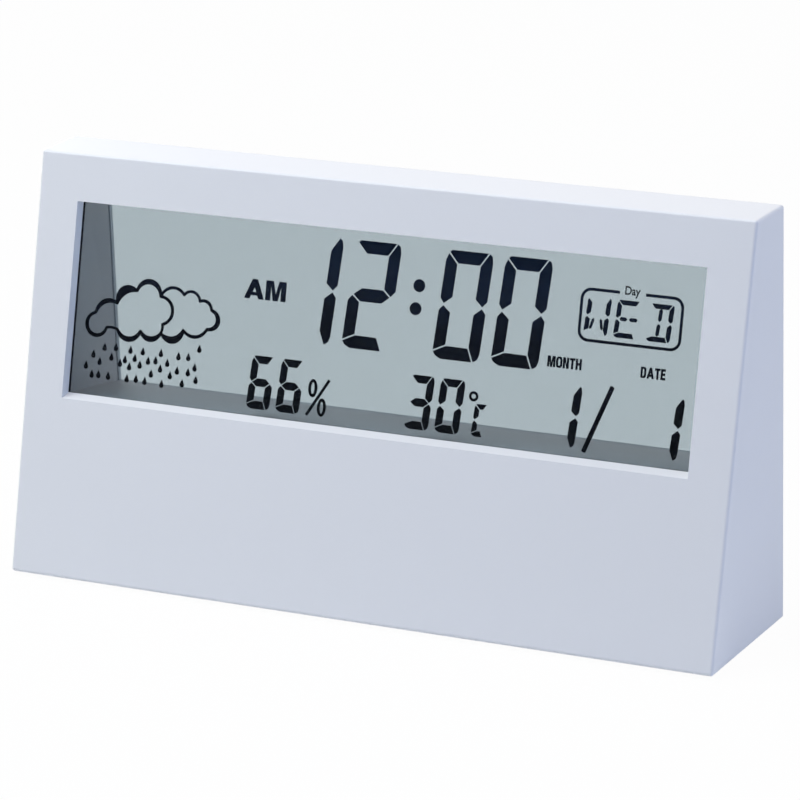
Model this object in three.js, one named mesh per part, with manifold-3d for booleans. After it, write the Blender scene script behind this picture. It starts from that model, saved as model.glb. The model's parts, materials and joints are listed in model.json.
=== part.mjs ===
// See-through digital desk clock, millimetres, +Z up, front towards -Y.
// The case stands on its feet with the origin under the middle of its footprint.
import * as THREE from 'three';
import * as BufferGeometryUtils from 'three/addons/utils/BufferGeometryUtils.js';
import { ConvexGeometry } from 'three/addons/geometries/ConvexGeometry.js';
import Module from 'manifold-3d';

const wasm = await Module();
wasm.setup();

// Case
const bodyWidth = 143;
const bodyHeight = 77;
const bodyDepth = 33;
const frontLean = THREE.MathUtils.degToRad(14.2);
const rearLean = THREE.MathUtils.degToRad(1);
const sideDraft = THREE.MathUtils.degToRad(1.5);
const edgeRadius = 0.6;
const edgeSteps = 3;
const edgeShare = 0.9;
const wall = 2;
const frontWall = 2.2;
const runClearance = 0.15;
const seatGap = 0.1;
const cutOver = 1;

// Feet
const footStand = 0.6;
const footRecess = 0.9;
const footRadius = 4;
const footEdge = 0.7;
const footInsetX = 11;
const footInsetY = 6.5;

// Window in the front wall, measured up the leaning front face
const windowSideMargin = 8.75;
const windowBottom = 33.75;
const windowHeadMargin = 8.83;
const windowSideDraft = 0.05;
const windowSillRise = 1.05;
const windowHeadDrop = 0.1;

// Display stack, each layer behind the one before
const filmGap = 0.08;
const lensThickness = 1;
const gasketThickness = 0.3;
const gasketSight = 0.35;
const gasketCorner = 0.3;
const polariserThickness = 0.2;
const glassThickness = 0.7;
const glassMargin = 2.6;
const glassHeadMargin = 1.1;
const contactLedge = 3;
const rearGlassDrop = 0.7;
const polariserInset = 0.5;
const trayClearance = 0.15;
const trayWall = 1.1;
const traySeat = 1.2;
const trayCorner = 0.5;
const fenceGap = 0.25;
const fenceWall = 1;
const fenceHeight = 1.8;
const fenceCorner = 0.8;

// Stiffening ribs inside the front wall and floor
const ribPairs = 2;
const ribPitch = 24;
const ribWidth = 1;
const ribHeight = 2;
const ribFoot = 1.4;

// Light well behind the display
const wellWall = 1.2;
const wellSideGap = 1.65;
const wellHeadGap = 0.35;
const wellSillGap = 0.1;
const wellSideMargin = 8.2;
const wellFall = 4;
const wellHeadMargin = 8.06;
const wellRearGap = 0.3;

// Rear cover, measured up the rear face
const coverThickness = 2;
const coverRebate = 1.1;
const coverCorner = 0.8;
const paneThickness = 1;
const paneLap = 1.2;
const paneCorner = 1;
const lugHeight = 1.6;
const lugEnd = 8;
const lugMiddle = 30;
const lugHalf = 12;
const screwInset = 4.6;
const screwDrop = 3.9;
const screwRise = 5.2;
const bossRadius = 2.4;
const bossBore = 1.05;
const bossWeb = 1.2;
const screwRadius = 0.9;
const screwLength = 8;
const screwHeadRadius = 1.9;
const screwHeadHeight = 0.8;
const screwHoleRadius = 1.15;
const screwTip = 1;
const recessWidth = 0.4;
const counterbore = 1;

// Cells and their bay
const cellRadius = 5.25;
const cellBody = 43.6;
const nubRadius = 1.9;
const nubHeight = 0.9;
const cellEdge = 0.7;
const cellGap = 0.5;
const cellClearance = 0.25;
const cellBackRoom = 1.2;
const contactRoom = 5;
const contactSheet = 0.4;
const contactBump = 0.6;
const bumpTop = 1.6;
const bumpFoot = 2.4;
const contactHalf = 4.4;
const solderTab = 3;
const solderReach = 2;
const stripInset = 0.4;
const bayWall = 1.6;
const bayBottom = 4;
const baySideMargin = 9.5;

// Battery door
const doorThickness = 1.8;
const doorLap = 0.7;
const doorGap = 0.2;
const tabWidth = 6;
const tabReach = 1;
const tabInset = 9;
const tabGap = 0.25;
const tabThickness = 1;
const tabSwing = 1.4;
const tongueWidth = 11;
const tongueLength = 6;
const tongueSlot = 0.8;
const hookWidth = 8;
const hookReach = 0.7;
const hookTop = 0.8;
const doorCorner = 0.4;
const notchRise = 1;
const gripGrooves = 4;
const gripPitch = 1.2;
const gripHalf = 3.4;

// Contact springs
const springTurns = 4;
const springWire = 0.6;
const springBase = 3.3;
const springTip = 2.1;
const springSteps = 8;
const springSides = 5;

// Board and what stands on it
const boardThickness = 1.2;
const boardSideMargin = 9.5;
const boardBayGap = 3.4;
const boardBottom = 4.5;
const boardTop = 27;
const boardDepth = 10;
const postRadius = 2.1;
const postInset = 3;
const chipOffset = 4;
const chipZ = 12;
const chipRadius = 5.5;
const chipHeight = 1.6;
const crystalOffset = 13;
const crystalZ = 17;
const crystalLength = 6;
const crystalRadius = 1;
const capacitorOffset = 14;
const capacitorZ = 9;
const capacitorLength = 7;
const capacitorRadius = 2.5;
const boardCorner = 0.6;
const canEdge = 0.3;
const padInset = 2.4;
const padRise = 2.6;

// Buttons
const buttonCount = 5;
const buttonEndMargin = 4.5;
const buttonStartGap = 1;
const buttonHeight = 15.5;
const buttonRadius = 2.6;
const buttonProud = 0.9;
const capShoulder = 0.6;
const capEdge = 0.4;
const buttonTravel = 0.5;
const buttonFlange = 1;
const flangeRadius = 3.1;
const stemRadius = 1.5;
const switchSide = 6;
const switchHeight = 3.5;
const plungerRadius = 1.6;
const plungerProud = 0.9;
const plungerBore = 1.6;
const plungerEdge = 0.2;
const switchCorner = 0.5;

// Sounder and sensors
const buzzerInset = 10.5;
const buzzerZ = 17.5;
const buzzerRadius = 7.5;
const ceramicRadius = 5;
const buzzerSheet = 0.25;
const soundHoles = 6;
const soundHoleRadius = 0.6;
const soundRing = 3;
const ventCount = 5;
const ventPitch = 3;
const ventWidth = 1.2;
const ventShare = 0.46;
const ventLength = 3.6;
const ventZ = 6.4;
const sensorSpread = 5;
const sensorHeight = 3;
const cageHalf = 3;
const cageLow = 1.2;
const cageHigh = 2.8;
const cageSlot = 0.8;
const cagePitch = 1.7;
const cageCorner = 0.3;
const beadRadius = 1.1;
const legRadius = 0.22;
const legSpread = 0.5;

// Wires and ribbon
const wireRadius = 0.55;
const wireSides = 8;
const wireSteps = 14;
const wireStraight = 2;
const wireSpread = 1.5;
const fineWire = 0.38;
const ribbonThickness = 0.2;
const ribbonWidth = 40;
const ribbonSag = 4;
const ribbonBond = 4;
const ribbonStart = 0.5;

// Finishes
const finishes = {
  case_white: { color: 0xe9ebf1, roughness: 0.45, metalness: 0 },
  clear: { color: 0xf2f6f6, roughness: 0.05, metalness: 0, transparent: true, opacity: 0.25 },
  film: { color: 0x9aa6a4, roughness: 0.2, metalness: 0, transparent: true, opacity: 0.35 },
  black_foam: { color: 0x16171a, roughness: 0.9, metalness: 0 },
  ribbon: { color: 0xc9a15c, roughness: 0.5, metalness: 0 },
  board: { color: 0x1f5a38, roughness: 0.55, metalness: 0 },
  epoxy: { color: 0x121214, roughness: 0.35, metalness: 0 },
  steel: { color: 0xb9bcc0, roughness: 0.3, metalness: 1 },
  brass: { color: 0xc79a45, roughness: 0.35, metalness: 1 },
  sleeve_black: { color: 0x202226, roughness: 0.4, metalness: 0 },
  sensor_blue: { color: 0x3c6fb0, roughness: 0.5, metalness: 0 },
  cell_wrap: { color: 0x3a3f46, roughness: 0.35, metalness: 0.2 },
  wire_red: { color: 0xb3201c, roughness: 0.5, metalness: 0 },
  wire_black: { color: 0x17181a, roughness: 0.5, metalness: 0 },
  rubber: { color: 0x2b2c2f, roughness: 0.85, metalness: 0 },
};

// Values worked out from the sizes above
const coverHeight = bodyHeight / Math.cos(rearLean);
const caseHalf = bodyWidth / 2;
const cavityHalf = caseHalf - wall;
const windowHalf = caseHalf - windowSideMargin;
const windowTop = bodyHeight / Math.cos(frontLean) - windowHeadMargin;
const wellRearHalf = caseHalf - wellSideMargin;
const wellRearBottom = windowBottom - wellFall;
const wellRearTop = coverHeight - wellHeadMargin;
const coverHalf = caseHalf - coverRebate - runClearance;
const coverBottom = coverRebate + runClearance;
const coverTop = coverHeight - coverRebate - runClearance;
const screwX = caseHalf - screwInset;
const screwLow = screwRise;
const screwHigh = coverHeight - screwDrop;
const lensDepth = frontWall + filmGap;
const gasketDepth = lensDepth + lensThickness + filmGap;
const frontFilmDepth = gasketDepth + gasketThickness + filmGap;
const frontGlassDepth = frontFilmDepth + polariserThickness + filmGap;
const rearGlassDepth = frontGlassDepth + glassThickness + filmGap;
const rearFilmDepth = rearGlassDepth + glassThickness + filmGap;
const seatDepth = rearFilmDepth + polariserThickness + filmGap;
const glassHalf = windowHalf + glassMargin;
const glassBottom = windowBottom + rearGlassDrop - contactLedge;
const glassTop = windowTop + glassHeadMargin;
const rearGlassBottom = windowBottom + rearGlassDrop;
const trayHalf = glassHalf + trayClearance;
const trayOuterHalf = trayHalf + trayWall;
const trayBottom = glassBottom - trayClearance;
const trayTop = glassTop + trayClearance;
const wellFrontHalf = windowHalf + wellSideGap;
const wellFrontBottom = rearGlassBottom + wellSillGap;
const wellFrontTop = windowTop + wellHeadGap;
const cellLength = cellBody + nubHeight;
const cellPitch = 2 * cellRadius + cellGap;
const bayHeight = 2 * (cellRadius + cellClearance) + cellPitch;
const bayTop = bayBottom + bayHeight;
const bayLength = 2 * (contactSheet + cellClearance) + contactBump + seatGap + cellLength + contactRoom;
const bayRight = caseHalf - baySideMargin;
const bayLeft = bayRight - bayLength;
const boardLeft = boardSideMargin - caseHalf;
const boardRight = bayLeft - bayWall - boardBayGap;
const boardMiddle = (boardLeft + boardRight) / 2;
const ribbonX = boardMiddle;
const chipX = boardMiddle + chipOffset;
const crystalX = boardMiddle + crystalOffset;
const capacitorX = boardMiddle + capacitorOffset;
const buzzerX = boardLeft + buzzerInset;
const buttonFirst = buzzerX + buzzerRadius + buttonStartGap + flangeRadius;
const buttonLast = boardRight - buttonEndMargin;
const buttonPitch = (buttonLast - buttonFirst) / (buttonCount - 1);
const bayFloor = doorThickness + cellClearance + 2 * cellRadius + cellBackRoom;
const cellDepth = bayFloor - cellClearance - cellRadius;
const cellLow = bayBottom + cellClearance + cellRadius;
const cellHigh = cellLow + cellPitch;
const contactLeft = bayLeft + cellClearance;
const contactRight = bayRight - cellClearance - contactSheet;
const doorwayLeft = bayLeft - doorLap;
const doorwayRight = bayRight + doorLap;
const doorwayBottom = bayBottom - doorLap;
const doorwayTop = bayTop + doorLap;
const doorMiddle = (bayLeft + bayRight) / 2;
const tabSpots = [bayLeft + tabInset, bayRight - tabInset];
const buttonSpots = Array.from({ length: buttonCount }, (_, i) => buttonFirst + i * buttonPitch);
const boardFront = boardDepth + boardThickness;
const plungerTop = boardDepth - seatGap - switchHeight - plungerProud;
const stemEnd = plungerTop - seatGap;
const stemStart = coverThickness + seatGap;

// Turned frames: the leaning front face and the slightly leaning rear face.
// In both, x is to the right and z runs up the face; y is depth into the case
// in the front frame, and out of the case in the rear frame.
const clock = new THREE.Group();
const frontFrame = new THREE.Group();
frontFrame.position.set(0, -bodyDepth / 2, footStand);
frontFrame.rotation.x = -frontLean;
const rearFrame = new THREE.Group();
rearFrame.position.set(0, bodyDepth / 2, footStand);
rearFrame.rotation.x = rearLean;
clock.add(frontFrame, rearFrame);
clock.updateMatrixWorld(true);

// A closed three.js geometry as a solid that can be joined and cut
function solid(geometry) {
  const bare = geometry.index ? geometry.toNonIndexed() : geometry.clone();
  for (const name of Object.keys(bare.attributes)) {
    if (name !== 'position') bare.deleteAttribute(name);
  }
  const merged = BufferGeometryUtils.mergeVertices(bare, 1e-4);
  return new wasm.Manifold(new wasm.Mesh({
    numProp: 3,
    vertProperties: new Float32Array(merged.attributes.position.array),
    triVerts: new Uint32Array(merged.index.array),
  }));
}

// A solid as a three.js geometry again
function surface(body) {
  const mesh = body.getMesh();
  const geometry = new THREE.BufferGeometry();
  geometry.setAttribute('position', new THREE.BufferAttribute(mesh.vertProperties, 3));
  geometry.setIndex(new THREE.BufferAttribute(mesh.triVerts, 1));
  const flat = geometry.toNonIndexed();
  flat.computeVertexNormals();
  return flat;
}

// A solid moved out of a turned frame into the clock's own frame
function fromFrame(body, frame) {
  return body.transform(frame.matrixWorld.toArray());
}

function join(bodies) {
  return bodies.reduce((sum, body) => sum.add(body));
}

function addPiece(frame, name, body, finish) {
  const settings = finishes[finish];
  const mesh = new THREE.Mesh(surface(body), new THREE.MeshStandardMaterial(settings));
  mesh.name = name;
  frame.add(mesh);
}

// A box between two corners
function block(x0, x1, y0, y1, z0, z1) {
  const geometry = new THREE.BoxGeometry(x1 - x0, y1 - y0, z1 - z0);
  geometry.translate((x0 + x1) / 2, (y0 + y1) / 2, (z0 + z1) / 2);
  return solid(geometry);
}

// A rectangle in x and z with rounded corners
function roundedRect(x0, x1, z0, z1, radius) {
  const shape = new THREE.Shape();
  shape.moveTo(x0 + radius, z0);
  shape.lineTo(x1 - radius, z0);
  shape.absarc(x1 - radius, z0 + radius, radius, -Math.PI / 2, 0, false);
  shape.lineTo(x1, z1 - radius);
  shape.absarc(x1 - radius, z1 - radius, radius, 0, Math.PI / 2, false);
  shape.lineTo(x0 + radius, z1);
  shape.absarc(x0 + radius, z1 - radius, radius, Math.PI / 2, Math.PI, false);
  shape.lineTo(x0, z0 + radius);
  shape.absarc(x0 + radius, z0 + radius, radius, Math.PI, 1.5 * Math.PI, false);
  return shape;
}

// A shape in x and z made solid from y0 to y1
function slab(shape, y0, y1, steps = 3) {
  const geometry = new THREE.ExtrudeGeometry(shape, {
    depth: y1 - y0,
    bevelEnabled: false,
    curveSegments: steps,
  });
  geometry.rotateX(Math.PI / 2);
  geometry.translate(0, y1, 0);
  return solid(geometry);
}

// A plate with a rounded outline, from y0 to y1
function plate(x0, x1, z0, z1, y0, y1, radius) {
  return slab(roundedRect(x0, x1, z0, z1, radius), y0, y1);
}

// A round bar along y
function bar(x, z, radius, y0, y1, sides = 20) {
  const geometry = new THREE.CylinderGeometry(radius, radius, y1 - y0, sides);
  geometry.translate(x, (y0 + y1) / 2, z);
  return solid(geometry);
}

// A turned form along y: pairs of radius and depth, starting and ending on the axis
function turned(x, z, profile, sides = 20) {
  const points = profile.map(([radius, along]) => new THREE.Vector2(radius, along));
  const geometry = new THREE.LatheGeometry(points, sides);
  geometry.translate(x, 0, z);
  return solid(geometry);
}

// A tube along a smooth curve through points
function tube(points, radius, sides, steps) {
  const section = new THREE.Shape();
  for (let side = 0; side <= sides; side += 1) {
    const angle = (2 * Math.PI * side) / sides;
    const x = radius * Math.cos(angle);
    const y = radius * Math.sin(angle);
    if (side === 0) section.moveTo(x, y);
    else if (side < sides) section.lineTo(x, y);
  }
  return solid(new THREE.ExtrudeGeometry(section, {
    steps,
    bevelEnabled: false,
    extrudePath: new THREE.CatmullRomCurve3(points, false, 'centripetal'),
  }));
}

// The case's side outline, moved in by an offset on the front and by another elsewhere
function sideOutline(frontOffset, offset, rearOffset, radius) {
  const low = offset;
  const high = bodyHeight - offset;
  const frontShift = frontOffset / Math.cos(frontLean) - bodyDepth / 2;
  const rearShift = bodyDepth / 2 - rearOffset;
  const corners = [
    new THREE.Vector2(frontShift + low * Math.tan(frontLean), low),
    new THREE.Vector2(rearShift - low * Math.tan(rearLean), low),
    new THREE.Vector2(rearShift - high * Math.tan(rearLean), high),
    new THREE.Vector2(frontShift + high * Math.tan(frontLean), high),
  ];
  if (radius === 0) return new THREE.Shape(corners);
  const shape = new THREE.Shape();
  corners.forEach((corner, index) => {
    const before = corners[(index + 3) % 4];
    const after = corners[(index + 1) % 4];
    const inward = before.clone().sub(corner).normalize();
    const outward = after.clone().sub(corner).normalize();
    const half = Math.acos(inward.dot(outward)) / 2;
    const reach = radius / Math.tan(half);
    const start = corner.clone().addScaledVector(inward, reach);
    const end = corner.clone().addScaledVector(outward, reach);
    if (index === 0) shape.moveTo(start.x, start.y);
    else shape.lineTo(start.x, start.y);
    const middle = inward.clone().add(outward).normalize();
    const centre = corner.clone().addScaledVector(middle, radius / Math.sin(half));
    const from = Math.atan2(start.y - centre.y, start.x - centre.x);
    const to = Math.atan2(end.y - centre.y, end.x - centre.x);
    shape.absarc(centre.x, centre.y, radius, from, to, false);
  });
  return shape;
}

// A side outline made solid across the case, with its side edges rounded and
// the moulding draft that makes the sides close in towards the front
function acrossCase(outline, half, radius) {
  const rounding = radius * edgeShare;
  const geometry = new THREE.ExtrudeGeometry(outline, {
    depth: 2 * (half - rounding),
    bevelEnabled: rounding > 0,
    bevelSize: rounding,
    bevelThickness: rounding,
    bevelOffset: -rounding,
    bevelSegments: edgeSteps,
    curveSegments: edgeSteps,
  });
  const yzx = new THREE.Matrix4().makeBasis(
    new THREE.Vector3(0, 1, 0),
    new THREE.Vector3(0, 0, 1),
    new THREE.Vector3(1, 0, 0),
  );
  geometry.applyMatrix4(yzx);
  geometry.translate(rounding - half, 0, footStand);
  const position = geometry.attributes.position;
  for (let i = 0; i < position.count; i += 1) {
    const narrowing = (bodyDepth / 2 - position.getY(i)) * Math.tan(sideDraft);
    position.setX(i, position.getX(i) * (1 - narrowing / caseHalf));
  }
  return solid(geometry);
}

// A four-sided funnel between two upright rectangles, each an array of corner points
function funnel(corners) {
  return solid(new ConvexGeometry(corners));
}

function rectAt(half, low, high, depth) {
  return [
    new THREE.Vector3(-half, depth, low),
    new THREE.Vector3(half, depth, low),
    new THREE.Vector3(half, depth, high),
    new THREE.Vector3(-half, depth, high),
  ];
}

// The window's outline at a depth behind the front face
function windowAt(depth) {
  const share = depth / frontWall;
  return rectAt(
    windowHalf - windowSideDraft * share,
    windowBottom + windowSillRise * share,
    windowTop - windowHeadDrop * share,
    depth,
  );
}

const coverScrewSpots = [
  [-screwX, screwLow],
  [screwX, screwLow],
  [-screwX, screwHigh],
  [screwX, screwHigh],
];
const boardScrewSpots = [
  [boardLeft + postInset, boardTop - postInset],
  [boardRight - postInset, boardTop - postInset],
  [boardRight - postInset, boardBottom + postInset],
];
const footSpots = [];
for (const side of [-1, 1]) {
  for (const end of [-1, 1]) {
    footSpots.push([side * (caseHalf - footInsetX), end * (bodyDepth / 2 - footInsetY)]);
  }
}

// Case front: a one-piece shell, open at the back, with its display window,
// screw bosses, stiffening ribs and the fence that locates the display tray
function makeFrontHousing() {
  const outer = acrossCase(sideOutline(0, 0, 0, edgeRadius), caseHalf, edgeRadius);
  const cavity = acrossCase(sideOutline(frontWall, wall, -wall - cutOver, 0), cavityHalf, 0);
  const bosses = coverScrewSpots.map(([x, z]) => {
    const outward = Math.sign(x) * (cavityHalf + seatGap);
    const web = block(Math.min(x, outward), Math.max(x, outward), -bodyDepth, 0,
      z - bossWeb / 2, z + bossWeb / 2);
    return fromFrame(bar(x, z, bossRadius, -bodyDepth, 0).add(web), rearFrame);
  });
  const ribs = [];
  for (let i = -ribPairs; i <= ribPairs; i += 1) {
    const x = i * ribPitch;
    ribs.push(fromFrame(block(
      x - ribWidth / 2, x + ribWidth / 2,
      frontWall - seatGap, frontWall + ribHeight,
      wall, trayBottom - trayWall - fenceGap - fenceWall / 2,
    ), frontFrame));
    ribs.push(block(
      x - ribWidth / 2, x + ribWidth / 2,
      -bodyDepth / 2, bodyDepth / 2 - bayFloor - bayWall - cutOver,
      footStand + wall - seatGap, footStand + wall + ribFoot,
    ));
  }
  const fenceInner = plate(
    -trayOuterHalf - fenceGap, trayOuterHalf + fenceGap,
    trayBottom - trayWall - fenceGap, trayTop + trayWall + fenceGap,
    0, frontWall + fenceHeight + cutOver, fenceCorner / 2,
  );
  const fence = fromFrame(plate(
    -trayOuterHalf - fenceGap - fenceWall, trayOuterHalf + fenceGap + fenceWall,
    trayBottom - trayWall - fenceGap - fenceWall, trayTop + trayWall + fenceGap + fenceWall,
    frontWall - seatGap, frontWall + fenceHeight, fenceCorner,
  ).subtract(fenceInner), frontFrame);
  const inside = join([...bosses, ...ribs, fence]).intersect(outer);
  const trayRoom = fromFrame(plate(
    -trayOuterHalf - fenceGap, trayOuterHalf + fenceGap,
    trayBottom - trayWall - fenceGap, trayTop + trayWall + fenceGap,
    frontWall, seatDepth + traySeat + fenceGap, fenceCorner / 2,
  ), frontFrame);
  const opening = fromFrame(
    funnel([...windowAt(-cutOver), ...windowAt(frontWall + cutOver)]),
    frontFrame,
  );
  const rebate = fromFrame(plate(
    -caseHalf + coverRebate, caseHalf - coverRebate,
    coverRebate, coverHeight - coverRebate,
    -coverThickness - seatGap, wall, coverCorner + runClearance,
  ), rearFrame);
  const bores = coverScrewSpots.map(([x, z]) => fromFrame(
    bar(x, z, bossBore, -coverThickness - screwLength - cutOver, 0, 12),
    rearFrame,
  ));
  const footRecesses = footSpots.map(([x, y]) => footDisc(x, y, footRadius + runClearance,
    footStand - cutOver, footStand + footRecess));
  return outer
    .subtract(cavity)
    .add(inside.subtract(trayRoom))
    .subtract(join([opening, rebate, ...bores, ...footRecesses]));
}

// A disc standing on z
function footDisc(x, y, radius, z0, z1) {
  const geometry = new THREE.CylinderGeometry(radius, radius, z1 - z0, 24);
  geometry.rotateX(Math.PI / 2);
  geometry.translate(x, y, (z0 + z1) / 2);
  return solid(geometry);
}

// Rubber foot with a turned-in lower edge
function makeFoot(x, y) {
  const profile = [
    [0, 0],
    [footRadius - footEdge, 0],
    [footRadius - footEdge / 4, footEdge / 3],
    [footRadius, footEdge],
    [footRadius, footStand + footRecess - seatGap],
    [0, footStand + footRecess - seatGap],
  ];
  const points = profile.map(([radius, height]) => new THREE.Vector2(radius, height));
  const geometry = new THREE.LatheGeometry(points, 24);
  geometry.rotateX(Math.PI / 2);
  geometry.translate(x, y, 0);
  return solid(geometry);
}

// Display tray: a pocket for the stack, a narrow seat behind it and the light
// well that runs from the seat to the back of the case
function makeDisplayFrame() {
  const toFront = frontFrame.matrixWorld.clone().invert().multiply(rearFrame.matrixWorld);
  const wellEnd = -coverThickness - wellRearGap;
  const rearRect = (grow, depth) => rectAt(
    wellRearHalf + grow, wellRearBottom - grow, wellRearTop + grow, depth,
  ).map((corner) => corner.applyMatrix4(toFront));
  const tray = plate(
    -trayOuterHalf, trayOuterHalf, trayBottom - trayWall, trayTop + trayWall,
    frontWall + seatGap, seatDepth + traySeat, trayCorner,
  );
  const pocket = block(-trayHalf, trayHalf, 0, seatDepth, trayBottom, trayTop);
  const wellOuter = funnel([
    ...rectAt(wellFrontHalf + wellWall, wellFrontBottom - wellWall, wellFrontTop + wellWall,
      seatDepth + traySeat / 2),
    ...rearRect(wellWall, wellEnd),
  ]);
  const wellInner = funnel([
    ...rectAt(wellFrontHalf, wellFrontBottom, wellFrontTop, seatDepth - seatGap),
    ...rearRect(0, wellEnd + cutOver),
  ]);
  const ribbonSlot = block(
    ribbonX - ribbonWidth / 2 - runClearance, ribbonX + ribbonWidth / 2 + runClearance,
    frontGlassDepth, seatDepth - runClearance,
    trayBottom - trayWall - cutOver, trayBottom + cutOver,
  );
  return tray.add(wellOuter).subtract(pocket).subtract(wellInner).subtract(ribbonSlot);
}

// Foam frame between the lens and the display glass
function makeGasket() {
  const outer = plate(-glassHalf, glassHalf, glassBottom, glassTop,
    gasketDepth, gasketDepth + gasketThickness, trayCorner);
  const sight = plate(-windowHalf - gasketSight, windowHalf + gasketSight,
    windowBottom + windowSillRise - gasketSight, windowTop + gasketSight,
    0, seatDepth, gasketCorner);
  return outer.subtract(sight);
}

// One flat layer of the display stack
function layer(depth, thickness, low, inset) {
  return block(-glassHalf + inset, glassHalf - inset, depth, depth + thickness,
    low + inset, glassTop - inset);
}

// Heat-sealed ribbon: down from the glass ledge, back under the well and onto the board
function makeRibbon() {
  const ledgeDepth = frontGlassDepth + glassThickness + filmGap + ribbonThickness / 2;
  const onLedge = (height) => new THREE.Vector3(0, ledgeDepth, height)
    .applyMatrix4(frontFrame.matrixWorld);
  const onBoard = (height, lift) => new THREE.Vector3(
    0, -boardFront - seatGap - ribbonThickness / 2 - lift, height,
  ).applyMatrix4(rearFrame.matrixWorld);
  const low = trayBottom - trayWall;
  const route = new THREE.CatmullRomCurve3([
    onLedge(rearGlassBottom - ribbonStart),
    onLedge(glassBottom),
    onLedge(low - ribbonStart),
    onBoard(low - ribbonSag, 2.1 * ribbonSag),
    onBoard(low - 1.1 * ribbonSag, 1.4 * ribbonSag),
    onBoard(low - ribbonSag, 0.4 * ribbonSag),
    onBoard(low - 1.2 * ribbonSag, 0.02 * ribbonSag),
    onBoard(low - 1.45 * ribbonSag, 0),
    onBoard(low - ribbonSag - ribbonBond, 0),
  ], false, 'centripetal');
  const steps = 28;
  const near = [];
  const far = [];
  for (let i = 0; i <= steps; i += 1) {
    const point = route.getPointAt(i / steps);
    const along = route.getTangentAt(i / steps);
    const off = new THREE.Vector2(-along.z, along.y).multiplyScalar(ribbonThickness / 2);
    near.push(new THREE.Vector2(point.y + off.x, point.z + off.y));
    far.unshift(new THREE.Vector2(point.y - off.x, point.z - off.y));
  }
  const geometry = new THREE.ExtrudeGeometry(new THREE.Shape([...near, ...far]), {
    depth: ribbonWidth,
    bevelEnabled: false,
  });
  geometry.applyMatrix4(new THREE.Matrix4().makeBasis(
    new THREE.Vector3(0, 1, 0),
    new THREE.Vector3(0, 0, 1),
    new THREE.Vector3(1, 0, 0),
  ));
  geometry.translate(ribbonX - ribbonWidth / 2, 0, 0);
  return solid(geometry);
}

// Rear cover: inset plate with the battery bay, the rear pane's seat, button
// holes, sound holes, vents and the posts that carry the board
function makeRearCover() {
  const plateBody = plate(-coverHalf, coverHalf, coverBottom, coverTop, -coverThickness, 0, coverCorner);
  const bay = block(bayLeft - bayWall, bayRight + bayWall, -bayFloor - bayWall, -coverThickness / 2,
    bayBottom - bayWall, bayTop + bayWall);
  const posts = boardScrewSpots.map(([x, z]) => bar(x, z, postRadius,
    -boardDepth + seatGap, -coverThickness / 2));
  const lugs = [];
  const lugIn = wellWall + wellRearGap;
  for (const side of [-1, 1]) {
    const inner = side * (wellRearHalf + lugIn);
    const outer = side * (wellRearHalf + lugIn + fenceWall);
    lugs.push(block(Math.min(inner, outer), Math.max(inner, outer),
      -coverThickness - lugHeight, -coverThickness / 2,
      wellRearBottom + lugEnd, wellRearTop - lugEnd));
    lugs.push(block(side * lugMiddle - lugHalf, side * lugMiddle + lugHalf,
      -coverThickness - lugHeight, -coverThickness / 2,
      wellRearTop + lugIn, wellRearTop + lugIn + fenceWall));
  }
  const bayRoom = block(bayLeft, bayRight, -bayFloor, cutOver, bayBottom, bayTop);
  const doorway = block(doorwayLeft, doorwayRight, -doorThickness - seatGap, cutOver,
    doorwayBottom, doorwayTop);
  const notch = block(doorMiddle - tongueWidth / 2 - doorGap, doorMiddle + tongueWidth / 2 + doorGap,
    -coverThickness - seatGap, cutOver, bayTop, doorwayTop + notchRise);
  const tabSlots = tabSpots.map((x) => block(x - tabWidth / 2 - 2 * doorGap, x + tabWidth / 2 + 2 * doorGap,
    -coverThickness - tabThickness - tabSwing, -coverThickness,
    bayBottom - bayWall - cutOver, bayBottom + seatGap));
  const contactSlots = [
    contactSlot(contactLeft, cellLow),
    contactSlot(contactLeft, cellHigh),
  ];
  const windowCut = block(-wellRearHalf, wellRearHalf, -coverThickness - cutOver, cutOver,
    wellRearBottom, wellRearTop);
  const paneSeat = plate(-wellRearHalf - paneLap, wellRearHalf + paneLap,
    wellRearBottom - paneLap, wellRearTop + paneLap,
    -paneThickness - seatGap, cutOver, paneCorner);
  const buttonHoles = buttonSpots.map((x) => bar(x, buttonHeight, buttonRadius + runClearance,
    -coverThickness - cutOver, cutOver));
  const holes = [bar(buzzerX, buzzerZ, soundHoleRadius, -coverThickness - cutOver, cutOver, 8)];
  for (let i = 0; i < soundHoles; i += 1) {
    const angle = (2 * Math.PI * i) / soundHoles;
    holes.push(bar(buzzerX + soundRing * Math.cos(angle), buzzerZ + soundRing * Math.sin(angle),
      soundHoleRadius, -coverThickness - cutOver, cutOver, 8));
  }
  const vents = [];
  for (let i = 0; i < ventCount; i += 1) {
    const x = buzzerX + (i - (ventCount - 1) / 2) * ventPitch;
    vents.push(plate(x - ventWidth / 2, x + ventWidth / 2, ventZ - ventLength / 2, ventZ + ventLength / 2,
      -coverThickness - cutOver, cutOver, ventShare * ventWidth));
  }
  const screwCuts = coverScrewSpots.map(([x, z]) => join([
    bar(x, z, screwHoleRadius, -coverThickness - cutOver, 0, 16),
    bar(x, z, screwHeadRadius + runClearance, -counterbore, cutOver),
  ]));
  const postBores = boardScrewSpots.map(([x, z]) => bar(x, z, bossBore,
    -boardDepth - cutOver, -coverThickness, 12));
  return join([plateBody, bay, ...posts, ...lugs]).subtract(join([
    bayRoom, doorway, notch, ...tabSlots, ...contactSlots, windowCut, paneSeat,
    ...buttonHoles, ...holes, ...vents, ...screwCuts, ...postBores,
  ]));
}

// The slot in the bay floor that a contact's solder tab passes through
function contactSlot(x, z) {
  return block(x - runClearance, x + contactSheet + runClearance,
    -bayFloor - bayWall - cutOver, -bayFloor + cutOver,
    z - solderTab / 2 - runClearance, z + solderTab / 2 + runClearance);
}

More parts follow.
